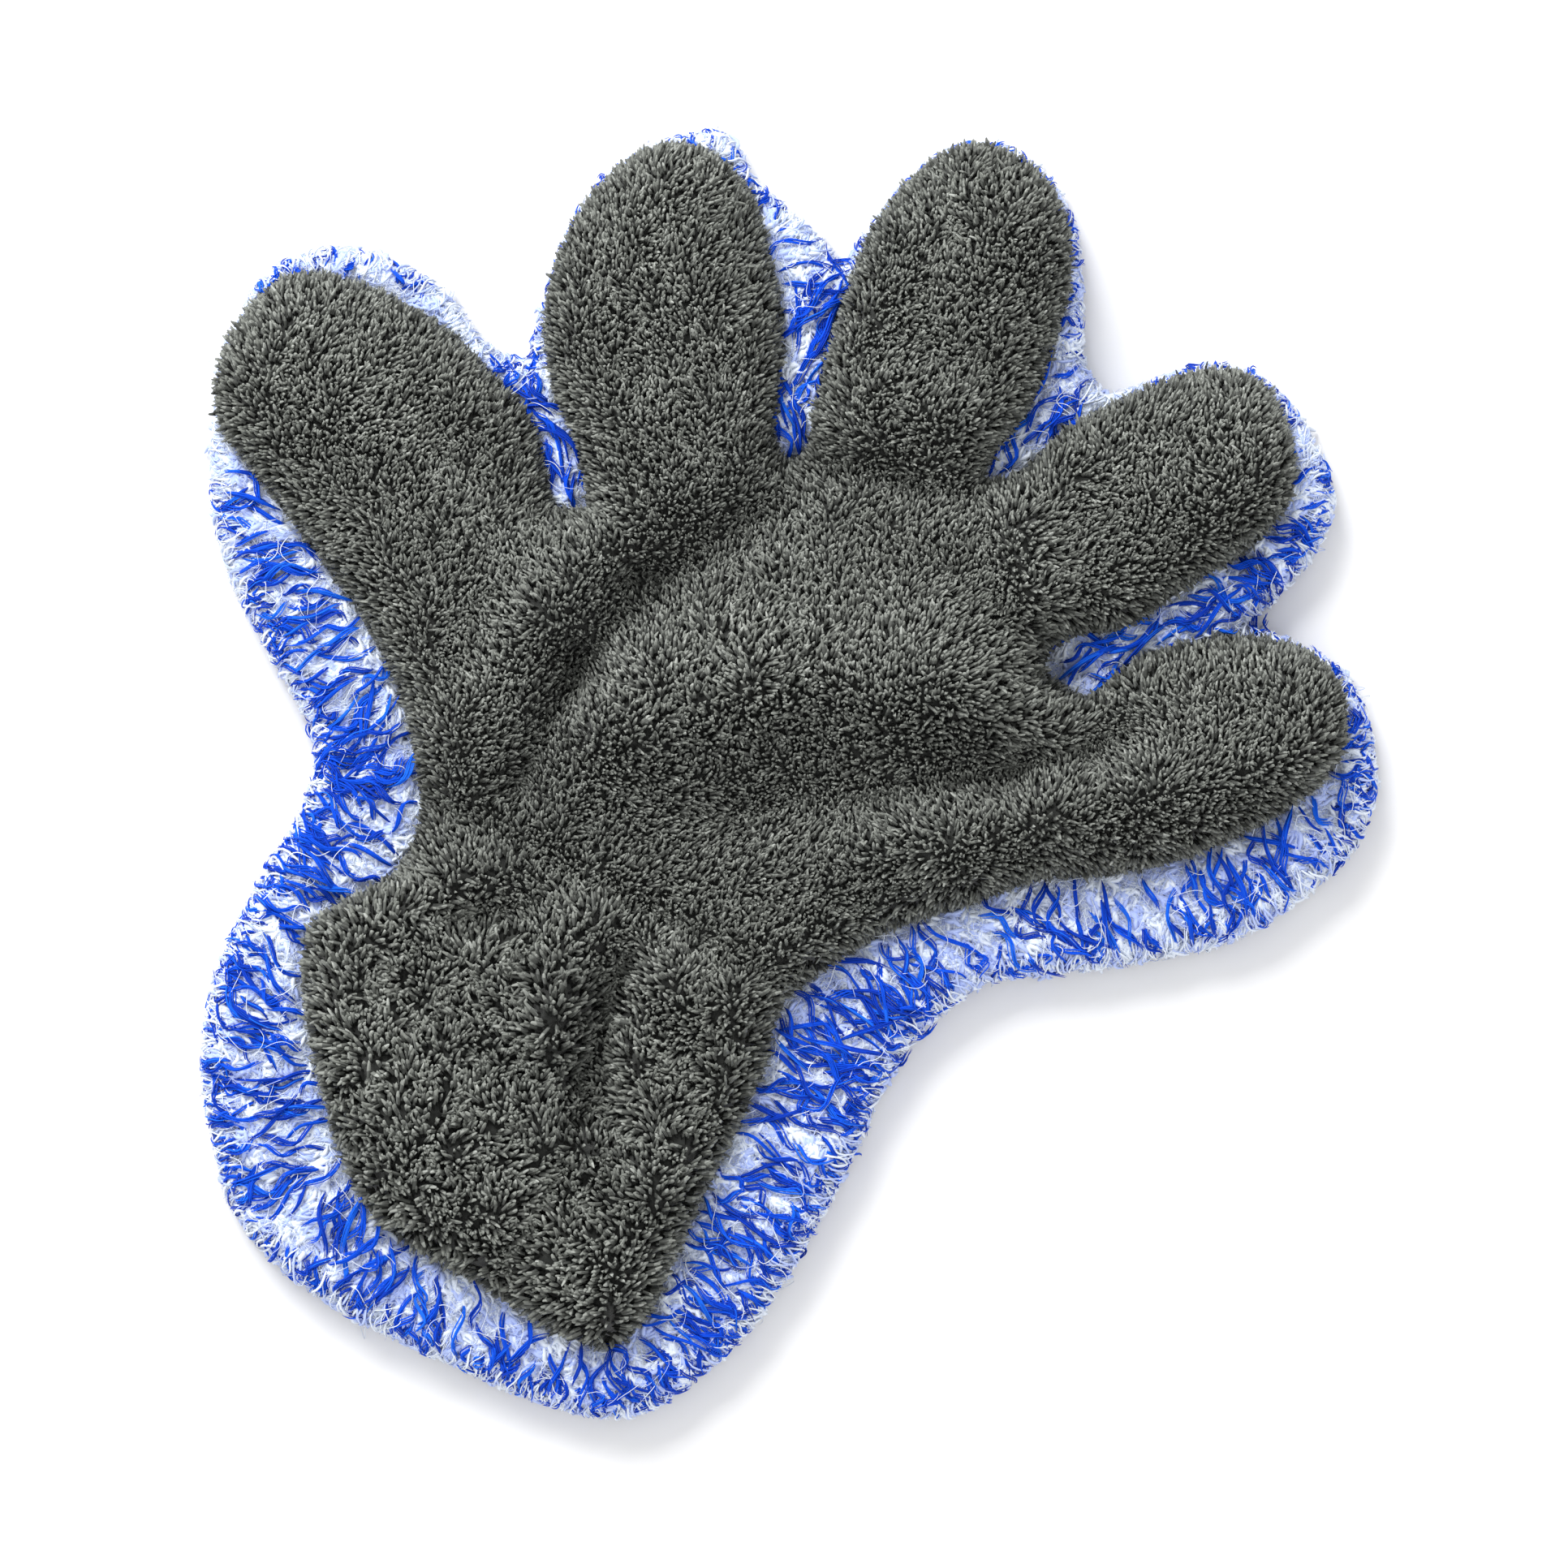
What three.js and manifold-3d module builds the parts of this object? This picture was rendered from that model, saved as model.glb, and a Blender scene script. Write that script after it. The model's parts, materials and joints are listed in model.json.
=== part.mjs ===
// A five-finger grooming glove, lying flat with its plush face up. Millimetres, +Z up, +Y along the
// hand from the cuff to the fingertips, +X towards the little finger, the thumb on the -X side.
//
// The glove is two cut panels, a short grey plush one above and a long blue and white shag one below,
// sewn together round the edge with a mouth left open at the cuff. A hand goes in through the mouth,
// past a wrist elastic. Each panel is split where the fabric flexes: across the wrist, across the
// root of each finger and across the middle of each finger. All shapes include the depth of the pile.
import * as THREE from "three";
import { mergeVertices } from "three/addons/utils/BufferGeometryUtils.js";
import Module from "manifold-3d";

const wasm = await Module();
wasm.setup();

// Heights above the surface that the glove lies on.
const SEAM_Z = 15; // the plane where the two panels are sewn
const SEAM_HALF = 0.4; // half the thickness of the overlocked seam
const SEAM_GAP = 0.3; // clearance between the seam and each panel
const HINGE_Z = 17; // the middle of the hand pocket, where every flex line turns
const POCKET_FLOOR_Z = 9;
const PLUSH_TOP = { finger: 31, hand: 35, cuff: 33 };
const PLUSH_CEILING = { finger: 24, hand: 27, cuff: 25 };

// Widths across the panels.
const PLUSH_ROUND = 12; // how far in from the edge the plush face curves up
const SHAG_ROUND = 6; // how far in from the edge the shag face curves up from the ground
const POCKET_INSET = 8; // from the plush panel's edge to the pocket's side
const POCKET_ROUND = 3.5;
const SEAM_INSET = 4;
const SEAM_WIDTH = 4;

// Flex lines.
const HALF_GAP = 0.6; // half the clearance at a flex line
const ROOT_HINGE = 5; // from a finger's root chord to its root flex line
const MIDDLE_HINGE = 0.54; // share of the finger's length at its middle flex line
const WRIST_HINGE_Y = -58;
const BEND_DEG = 60; // how far each flex line folds towards the plush face
const SLIT_HALF = 2; // half the gap kept between neighbouring shag fingers
const HEEL = 24; // how far a finger's shape runs back into the hand before it is cut

// Bands inside the pocket.
const BAND = { thickness: 1.2, clearance: 0.4, round: 4 };
const ELASTIC = { from: -49, to: -41, left: -43, right: 27 };
const BINDING = { from: -124, to: -116, left: -25.6, right: 23.6 };
const WRIST_WAY = { left: -38, right: 22, from: -75, to: -45 }; // the pocket's passage at the wrist
const SEAM_WRIST_GAP = { low: [-42, -66], high: [27, -46] }; // no seam crosses the pocket here
const MOUTH = { left: -26, right: 24, from: -90, to: -200 };

// Each finger of the plush panel, from one end of its root chord round the tip to the other end. The
// chord lies square to the finger. The shag finger under it is wider by grow all round, and set over
// by shift, because the long pile hangs out further on one side.
const FINGERS = {
  thumb: {
    edge: [
      [-82, -9], [-99, 1], [-115, 10], [-129, 18], [-137, 29], [-138.5, 41], [-134, 52],
      [-125, 59], [-112, 61.5], [-97, 59.5], [-84, 55], [-72, 52], [-63, 48],
    ],
    grow: 5,
    shift: [5, -5],
  },
  index: {
    edge: [
      [-66, 54], [-73, 67], [-79, 83], [-79, 97], [-75, 110], [-67, 119], [-58, 120.5],
      [-47, 117], [-37, 106], [-29, 94], [-22, 81], [-15.6, 70.4],
    ],
    grow: 3,
    shift: [3, 0],
  },
  middle: {
    edge: [
      [-14, 79], [-16, 95], [-18.5, 110], [-18, 125], [-14, 138], [-6, 147], [4, 149],
      [15, 146], [23, 138], [28, 127], [31, 113], [31, 98], [29, 82],
    ],
    grow: 2.5,
    shift: [2.5, -1.5],
  },
  ring: {
    edge: [
      [31, 84], [37, 97], [45, 108], [54, 118], [64, 125], [74, 126], [84, 120],
      [91, 109], [91, 95], [85, 80], [77, 69.5], [69, 60],
    ],
    grow: 4,
    shift: [4, -2.5],
  },
  little: {
    edge: [
      [70, 49], [77, 59], [87, 66.5], [98, 73.5], [109, 76], [119, 72], [126, 62],
      [125.5, 49], [118, 36], [109, 26], [100, 19], [92, 14],
    ],
    grow: 7,
    shift: [5.2, -5],
  },
};
// The notches between neighbouring fingers, from the thumb on, with the direction each one opens in.
const NOTCHES = [
  { at: [-54, 38], deg: 131 },
  { at: [-14, 66], deg: 105 },
  { at: [30, 81], deg: 72 },
  { at: [59, 49], deg: 43 },
];
const HAND_TOP = [
  [-82, -9], [-61, 43], [-38, 60], [-14, 72], [8, 79], [30, 80], [54, 68], [70, 48], [90, 14],
];
const HAND_LEFT = [[-54, -62], [-53, -48], [-57, -36], [-65, -25], [-74, -16]];
const HAND_RIGHT = [[82, 5], [70, -5], [58, -15], [48, -25], [41, -37], [37, -48], [39, -62]];
const CUFF = [
  [-52, -50], [-57, -59], [-63, -68], [-65, -79], [-61, -91], [-52, -104], [-41, -116],
  [-26, -126], [-6, -131], [12, -131.5], [27, -128], [37, -117], [40, -103], [39.5, -85],
  [39, -66], [36, -50],
];
const HAND_SHAG = {
  left: [[-80, -64], [-80.5, -46], [-85, -33], [-96, -25]],
  right: [[106, -2], [91, -13], [78, -23], [69, -35], [65, -50], [65, -64]],
};
const CUFF_SHAG = [
  [-78, -40], [-80.5, -58], [-82, -84], [-77, -108], [-66, -129], [-50, -143], [-28, -149.5],
  [0, -150.5], [28, -149], [44, -143], [54, -127], [61, -110], [64.5, -90], [64, -66], [66, -40],
];

const PLUSH = new THREE.MeshStandardMaterial({ color: 0x5a5c58, roughness: 0.95, metalness: 0 });
const SHAG = new THREE.MeshStandardMaterial({ color: 0x8fa4e0, roughness: 0.95, metalness: 0 });
const THREAD = new THREE.MeshStandardMaterial({ color: 0x3c3d3b, roughness: 0.8, metalness: 0 });
const BAND_CLOTH = new THREE.MeshStandardMaterial({ color: 0x2c2d2c, roughness: 0.85, metalness: 0 });

// ---------- solids ----------

function solidOf(geometry, matrix = new THREE.Matrix4()) {
  const bare = geometry.index ? geometry.toNonIndexed() : geometry.clone();
  bare.deleteAttribute("normal");
  bare.deleteAttribute("uv");
  bare.applyMatrix4(matrix);
  const merged = mergeVertices(bare, 1e-4);
  return new wasm.Manifold(
    new wasm.Mesh({
      numProp: 3,
      vertProperties: merged.attributes.position.array,
      triVerts: new Uint32Array(merged.index.array),
    }),
  );
}

const joined = (solids) => solids.reduce((all, one) => all.add(one));

function box(low, high) {
  const size = high.map((h, i) => h - low[i]);
  const middle = high.map((h, i) => (h + low[i]) / 2);
  return solidOf(new THREE.BoxGeometry(...size), new THREE.Matrix4().makeTranslation(...middle));
}

const FAR = 300;
const above = (z) => box([-FAR, -FAR, z], [FAR, FAR, FAR]);
const below = (z) => box([-FAR, -FAR, -FAR], [FAR, FAR, z]);

// ---------- plan shapes ----------

const vectors = (points) => points.map(([x, y]) => new THREE.Vector2(x, y));
const smooth = (points, step) => {
  const curve = new THREE.SplineCurve(points);
  return curve.getSpacedPoints(Math.round(curve.getLength() / step));
};

/** A layer with rounded edges: it reaches height up and down from z, and its plan grows by grow. */
function pillow(outline, z, height, round, grow) {
  const geometry = new THREE.ExtrudeGeometry(new THREE.Shape(outline), {
    depth: 2 * SEAM_HALF,
    bevelThickness: height - SEAM_HALF,
    bevelSize: round,
    bevelOffset: grow - round,
    bevelSegments: 3,
  });
  return solidOf(geometry, new THREE.Matrix4().makeTranslation(0, 0, z - SEAM_HALF));
}

/** A flat plate of the outline grown by grow, centred on z. */
function plate(outline, z, thickness, grow) {
  const geometry = new THREE.ExtrudeGeometry(new THREE.Shape(outline), {
    depth: thickness - 0.2,
    bevelThickness: 0.1,
    bevelSize: 0.1,
    bevelOffset: grow - 0.1,
    bevelSegments: 1,
  });
  return solidOf(geometry, new THREE.Matrix4().makeTranslation(0, 0, z - thickness / 2 + 0.1));
}

const plushLayer = (outline, top) => pillow(outline, SEAM_Z, top - SEAM_Z, PLUSH_ROUND, 0);

// ---------- flex lines ----------

/** A flex line: at is a point on it, out points away from the hand. */
function flexLine(at, out) {
  return {
    at: new THREE.Vector3(at.x, at.y, HINGE_Z),
    out: new THREE.Vector3(out.x, out.y, 0).normalize(),
  };
}

const LEAN = FAR * Math.tan(THREE.MathUtils.degToRad(BEND_DEG / 2));

/** A solid standing on a flex line: x runs out from the line and y runs up. */
function alongLine({ at, out }, profile, width, side = 1) {
  const geometry = new THREE.ExtrudeGeometry(new THREE.Shape(vectors(profile)), {
    depth: width,
    bevelEnabled: false,
  });
  geometry.translate(0, 0, -width / 2);
  const away = out.clone().multiplyScalar(side);
  const up = new THREE.Vector3(0, 0, 1);
  const across = new THREE.Vector3().crossVectors(away, up);
  return solidOf(geometry, new THREE.Matrix4().makeBasis(away, up, across).setPosition(at));
}

/** Everything on one side of a flex line, leaning back above it by half the bend. side is 1 for the
 *  part beyond the line, and -1 for the part before it. */
function sideOf(line, side) {
  const leaning = [[HALF_GAP + LEAN, FAR], [HALF_GAP, 0]];
  const profile = [[HALF_GAP, -FAR], [2 * FAR, -FAR], [2 * FAR, FAR], ...leaning];
  return alongLine(line, profile, 2 * FAR, side);
}

/** The V-shaped slot at a flex line. */
function slot(line, width) {
  const half = [[HALF_GAP, -FAR], [HALF_GAP, 0], [HALF_GAP + LEAN, FAR]];
  const mirrored = half.map(([x, y]) => [-x, y]).reverse();
  return alongLine(line, [...half, ...mirrored], width);
}

/** Everything on the far side of a notch's centre line, seen from the finger on the other side. */
function acrossNotch({ at, deg }, side) {
  const turn = new THREE.Matrix4().makeRotationZ(THREE.MathUtils.degToRad(deg));
  const geometry = new THREE.BoxGeometry(2 * FAR, FAR, FAR);
  geometry.translate(0, side * (FAR / 2 - SLIT_HALF), 0);
  return solidOf(geometry, turn.setPosition(at[0], at[1], 0));
}

// ---------- fingers ----------

const fingers = Object.entries(FINGERS).map(([name, { edge, grow, shift }], i) => {
  const points = vectors(edge);
  const first = points[0];
  const last = points.at(-1);
  const chord = new THREE.Vector2().subVectors(last, first);
  const out = new THREE.Vector2(-chord.y, chord.x).normalize();
  const centre = new THREE.Vector2().addVectors(first, last).multiplyScalar(0.5);
  const length = Math.max(...points.map((p) => p.clone().sub(centre).dot(out)));
  const along = (distance) => centre.clone().addScaledVector(out, distance);
  const heel = [last, first].map((p) => p.clone().addScaledVector(out, -HEEL));
  const outline = [...smooth(points, 7.5), ...heel];
  const neighbours = [
    ...(i > 0 ? [acrossNotch(NOTCHES[i - 1], 1)] : []),
    ...(i < NOTCHES.length ? [acrossNotch(NOTCHES[i], -1)] : []),
  ];
  return {
    name,
    outline,
    root: flexLine(along(ROOT_HINGE), out),
    middle: flexLine(along(length * MIDDLE_HINGE), out),
    rootWidth: chord.length() + 2 * grow,
    plush: plushLayer(outline, PLUSH_TOP.finger),
    shag: pillow(outline, SEAM_Z, SEAM_Z, SHAG_ROUND, grow)
      .translate(...shift, 0)
      .subtract(joined(neighbours)),
  };
});

const wrist = flexLine({ x: -8, y: WRIST_HINGE_Y }, { x: 0, y: -1 });

// ---------- outlines of the hand and the cuff ----------

const handOutline = [
  ...vectors(HAND_LEFT),
  ...vectors(HAND_TOP),
  ...vectors(HAND_RIGHT),
];
const handShagOutline = vectors([...HAND_SHAG.left, ...HAND_TOP, ...HAND_SHAG.right]);
const cuffOutline = vectors(CUFF);
const cuffShagOutline = smooth(vectors(CUFF_SHAG), 10);
const mouthOutline = vectors([
  [MOUTH.left, MOUTH.from],
  [MOUTH.left, MOUTH.to],
  [MOUTH.right, MOUTH.to],
  [MOUTH.right, MOUTH.from],
]);

// ---------- the pocket ----------

function pocket(outline, ceiling) {
  const up = pillow(outline, SEAM_Z, ceiling - SEAM_Z, POCKET_ROUND, -POCKET_INSET);
  const down = pillow(outline, SEAM_Z, SEAM_Z - POCKET_FLOOR_Z, POCKET_ROUND, -POCKET_INSET);
  return up.intersect(above(SEAM_Z - 0.1)).add(down.intersect(below(SEAM_Z + 0.1)));
}

/** A straight way through the pocket at the cuff's height. */
function passage({ left, right }, low, high) {
  return box([left, low, POCKET_FLOOR_Z], [right, high, PLUSH_CEILING.cuff]);
}

const pocketSpace = joined([
  pocket(handOutline, PLUSH_CEILING.hand),
  pocket(cuffOutline, PLUSH_CEILING.cuff),
  ...fingers.map(({ outline }) => pocket(outline, PLUSH_CEILING.finger)),
  passage(MOUTH, MOUTH.to, MOUTH.from),
  passage(WRIST_WAY, WRIST_WAY.from, WRIST_WAY.to),
]);

// ---------- panels and seams ----------

const plushRegion = above(SEAM_Z + SEAM_HALF + SEAM_GAP).subtract(pocketSpace);
const shagRegion = below(SEAM_Z - SEAM_HALF - SEAM_GAP).subtract(pocketSpace);

/** The overlocked seam: a strip just inside the plush panel's whole edge, open at the mouth. */
function seamRing() {
  const outlines = [handOutline, cuffOutline, ...fingers.map(({ outline }) => outline)];
  const plates = (thickness, inset) =>
    joined(outlines.map((outline) => plate(outline, SEAM_Z, thickness, -inset)));
  const outer = plates(2 * SEAM_HALF, SEAM_INSET);
  const inner = plates(4 * SEAM_HALF, SEAM_INSET + SEAM_WIDTH);
  const [left, from] = SEAM_WRIST_GAP.low;
  const [right, to] = SEAM_WRIST_GAP.high;
  const wrists = box([left, from, 0], [right, to, FAR]);
  const mouth = plate(mouthOutline, SEAM_Z, 4 * SEAM_HALF, 1);
  return outer.subtract(inner).subtract(mouth).subtract(wrists);
}

/** The share of a layer beyond a flex line, and the share before it. */
const beyond = (solid, line) => solid.intersect(sideOf(line, 1));
const before = (solid, line) => solid.intersect(sideOf(line, -1));

/** The hand's share of a layer: its own shape and the fingers' heels, clear of every root line. */
function handShare(own, heels) {
  const slots = fingers.map(({ root, rootWidth }) => slot(root, rootWidth));
  const ends = fingers.map(({ root }, i) => before(heels[i], root));
  return before(joined([own, ...ends]).subtract(joined(slots)), wrist);
}

/** The strips of a seam, in clockwise order round a point, starting from straight below it. */
function stripsAround(solid, centre) {
  const turnOf = (strip) => {
    const { min, max } = strip.boundingBox();
    const angle = Math.atan2((min[1] + max[1]) / 2 - centre.y, (min[0] + max[0]) / 2 - centre.x);
    return (2.5 * Math.PI - angle + Math.PI) % (2 * Math.PI);
  };
  const strips = solid.decompose().filter((strip) => strip.volume() > 1);
  return strips.sort((a, b) => turnOf(a) - turnOf(b));
}

/** A flat band sewn round the inside of the pocket, running from one Y to the other. */
function band({ from, to, left, right }, ceiling) {
  const low = POCKET_FLOOR_Z + BAND.clearance;
  const high = ceiling - BAND.clearance;
  const loop = (path, inset) => {
    const [x0, x1, z0, z1] = [left + inset, right - inset, low + inset, high - inset];
    const r = BAND.round - inset;
    path.absarc(x1 - r, z0 + r, r, -Math.PI / 2, 0);
    path.absarc(x1 - r, z1 - r, r, 0, Math.PI / 2);
    path.absarc(x0 + r, z1 - r, r, Math.PI / 2, Math.PI);
    path.absarc(x0 + r, z0 + r, r, Math.PI, 1.5 * Math.PI);
    return path;
  };
  const shape = loop(new THREE.Shape(), 0);
  shape.holes.push(loop(new THREE.Path(), BAND.thickness));
  const geometry = new THREE.ExtrudeGeometry(shape, {
    depth: to - from,
    bevelEnabled: false,
    curveSegments: 4,
  });
  geometry.rotateX(Math.PI / 2);
  return solidOf(geometry, new THREE.Matrix4().makeTranslation(0, to, 0));
}

// ---------- the glove ----------

const glove = new THREE.Group();
glove.name = "grooming_glove";

function addMesh(name, solid, material) {
  const { numProp, vertProperties, triVerts } = solid.getMesh();
  const geometry = new THREE.BufferGeometry();
  geometry.setAttribute("position", new THREE.BufferAttribute(new Float32Array(vertProperties), numProp));
  geometry.setIndex(new THREE.BufferAttribute(new Uint32Array(triVerts), 1));
  geometry.computeVertexNormals();
  const mesh = new THREE.Mesh(geometry, material.clone());
  mesh.name = name;
  glove.add(mesh);
}

/** One body's plush shell, shag shell and seam strips, named in clockwise order. */
function addBody(body, plush, shag, seam, centre, stripNames) {
  addMesh(`${body}_plush`, plush.intersect(plushRegion), PLUSH);
  addMesh(`${body}_shag`, shag.intersect(shagRegion), SHAG);
  stripsAround(seam, centre).forEach((strip, i) => addMesh(`${body}_seam${stripNames[i]}`, strip, THREAD));
}

const seam = seamRing();
const SIDES = ["_thumb_side", "_little_side"];

const heelSeam = (outline) => plate(outline, SEAM_Z, 2 * SEAM_HALF, 0).intersect(seam);
const handSeam = handShare(heelSeam(handOutline), fingers.map(({ outline }) => heelSeam(outline)));
addBody(
  "hand",
  handShare(plushLayer(handOutline, PLUSH_TOP.hand), fingers.map(({ plush }) => plush)),
  handShare(pillow(handShagOutline, SEAM_Z, SEAM_Z, SHAG_ROUND, 0), fingers.map(({ shag }) => shag)),
  handSeam,
  new THREE.Vector2(0, 20),
  ["_thumb_side", "_thumb_notch", "_index_notch", "_middle_notch", "_ring_notch", "_little_side"],
);
addMesh("wrist_elastic", band(ELASTIC, PLUSH_CEILING.hand), BAND_CLOTH);

const cuffLayer = plushLayer(cuffOutline, PLUSH_TOP.cuff);
const cuffShag = pillow(cuffShagOutline, SEAM_Z, SEAM_Z, SHAG_ROUND, 0);
const cuffSeam = plate(cuffOutline, SEAM_Z, 2 * SEAM_HALF, 0).intersect(seam);
addBody(
  "cuff",
  beyond(cuffLayer, wrist),
  beyond(cuffShag, wrist),
  beyond(cuffSeam, wrist),
  new THREE.Vector2(0, -95),
  SIDES,
);
addMesh("cuff_binding", band(BINDING, PLUSH_CEILING.cuff), BAND_CLOTH);

for (const { name, outline, root, middle, plush, shag } of fingers) {
  const strip = plate(outline, SEAM_Z, 2 * SEAM_HALF, 0).intersect(seam);
  const baseOf = (solid) => before(beyond(solid, root), middle);
  const centre = new THREE.Vector2().addVectors(root.at, middle.at).multiplyScalar(0.5);
  addBody(`${name}_base`, baseOf(plush), baseOf(shag), baseOf(strip), centre, SIDES);
  addBody(`${name}_tip`, beyond(plush, middle), beyond(shag, middle), beyond(strip, middle), centre, [""]);
}

export default glove;
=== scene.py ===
import json
import math

import bpy
import numpy as np
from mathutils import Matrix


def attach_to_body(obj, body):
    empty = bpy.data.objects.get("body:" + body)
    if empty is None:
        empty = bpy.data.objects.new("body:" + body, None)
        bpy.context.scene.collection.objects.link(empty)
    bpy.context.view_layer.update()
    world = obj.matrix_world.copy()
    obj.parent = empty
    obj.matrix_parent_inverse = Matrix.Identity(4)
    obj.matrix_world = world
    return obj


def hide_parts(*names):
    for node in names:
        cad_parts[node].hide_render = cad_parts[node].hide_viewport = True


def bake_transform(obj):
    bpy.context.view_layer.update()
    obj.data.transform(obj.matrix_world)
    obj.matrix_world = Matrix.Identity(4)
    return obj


# The looks of a grooming glove: a short grey plush panel over a long blue and white shag panel.
# Everything is worked out in millimetres in the row frame (+Y to the fingertips, +X to the little
# finger, +Z up out of the plush) and turned into metres when a mesh is made.

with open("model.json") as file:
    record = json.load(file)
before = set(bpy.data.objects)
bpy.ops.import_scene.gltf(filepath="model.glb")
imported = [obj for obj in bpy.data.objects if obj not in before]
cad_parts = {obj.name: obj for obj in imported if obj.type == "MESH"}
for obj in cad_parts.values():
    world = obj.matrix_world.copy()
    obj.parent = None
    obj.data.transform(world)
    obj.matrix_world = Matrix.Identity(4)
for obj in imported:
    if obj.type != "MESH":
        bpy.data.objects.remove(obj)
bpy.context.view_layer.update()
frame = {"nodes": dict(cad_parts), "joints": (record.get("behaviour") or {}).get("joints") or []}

MM = 0.001
SEAM_Z = 15.0  # the plane of the side seam
BLEND = (-6.0, 18.0)  # where the cloth bends, measured out from each finger's flex line
CUFF_BLEND_Y = (-47.0, -71.0)
FINGER_END_Y = -45.0  # the thumb's and the little finger's cloth stops short of the cuff here

# ---- outlines

# The grey panel's edge, clockwise from the tip of the thumb. A corner is marked with a third value.
PLUSH_EDGE = [
    (-138, 40), (-134, 53), (-125, 59.5), (-110, 61.5), (-95, 60), (-82, 55.5), (-70, 51), (-61, 41),
    (-56, 34, 1), (-50, 37, 1), (-58, 48), (-66, 55), (-72, 63), (-77, 73), (-79.5, 86), (-79, 98),
    (-75, 110), (-68, 118), (-58, 120.5), (-46, 116), (-35, 104), (-26, 91), (-21, 78), (-18, 69),
    (-14, 65, 1), (-11, 69), (-14, 79), (-16, 90), (-18, 105), (-18.5, 121), (-15, 135), (-8, 145.8),
    (3, 148.5), (14, 145.5), (22, 138), (27.5, 126), (30.5, 110), (30.5, 96), (28, 85),
    (28, 80.5, 1), (34, 85), (39, 98), (47, 108), (57, 119), (67, 125.5), (78, 124.5), (88, 115),
    (92, 103), (86.7, 88), (79, 76), (71, 63), (62, 57), (57, 51),
    (59.5, 46.4, 1), (68.7, 46.2), (74, 57), (83, 66), (95, 73), (109, 76), (120, 71.5), (126, 60),
    (124, 48), (115, 34), (104.5, 22), (92, 12.3), (77, 3.6), (64, -9), (52, -20), (43, -33), (37, -46),
    (39.2, -58), (39.5, -72), (39, -90), (39, -108), (39, -122), (33, -132), (18, -132.5), (0, -130),
    (-20, -128.5), (-33, -122), (-45, -110), (-56, -96), (-64, -83), (-66, -73), (-61, -64),
    (-54, -54), (-54.5, -42), (-59.5, -32), (-70, -19), (-85, -7), (-102, 2.5), (-119, 11.5), (-131, 18),
    (-137, 28),
]
# The outer limit of the blue and white pile. It shows outside the grey edge and in the notches.
SHAG_EDGE = [
    (-138, 42), (-136.5, 54), (-128, 64), (-114, 68.5), (-99, 67), (-86, 60.5), (-75, 60, 1),
    (-79.5, 86), (-79, 98), (-75, 110), (-68, 119), (-57, 125.5), (-47, 119), (-33, 115), (-21, 110, 1),
    (-18.5, 121), (-15, 135), (-7, 146), (3, 149.5), (14.4, 146), (24, 138), (29.5, 127), (37.5, 113),
    (45, 108.3, 1), (57, 119.5), (67, 126.5), (79, 125.5), (91, 119), (100, 110), (102, 98), (98, 84),
    (94, 75, 1), (109, 76.5), (122, 73), (133, 61), (138, 44), (133.3, 29), (124, 13), (110, 1),
    (94, -10), (78, -20), (69, -33), (65, -50), (65, -70), (64, -92), (61, -112), (55, -128),
    (46, -142), (30, -148), (0, -149.5), (-28, -148.5), (-52, -141), (-66, -126), (-76, -110),
    (-81, -90), (-80.5, -68), (-79, -50), (-83, -35.5), (-96, -25.5), (-111, -14.5), (-122, -3),
    (-131, 12), (-135, 26),
]


def flex_lines(finger):
    """The direction out of the hand, and a point on each of the finger's two flex lines."""
    joints = {j["name"]: j for j in frame["joints"]}
    root, middle = joints[f"{finger}_knuckle"], joints[f"{finger}_bend"]
    out = (-root["axis"][1], root["axis"][0])
    return out, tuple(v / MM for v in root["pos_m"][:2]), tuple(v / MM for v in middle["pos_m"][:2])


FINGERS = {finger: flex_lines(finger) for finger in ("thumb", "index", "middle", "ring", "little")}
# The notches between the fingers, from the thumb on, and the direction that each opens in.
NOTCHES = [((-54, 38), 131), ((-14, 66), 105), ((30, 81), 72), ((59, 49), 43)]
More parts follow.
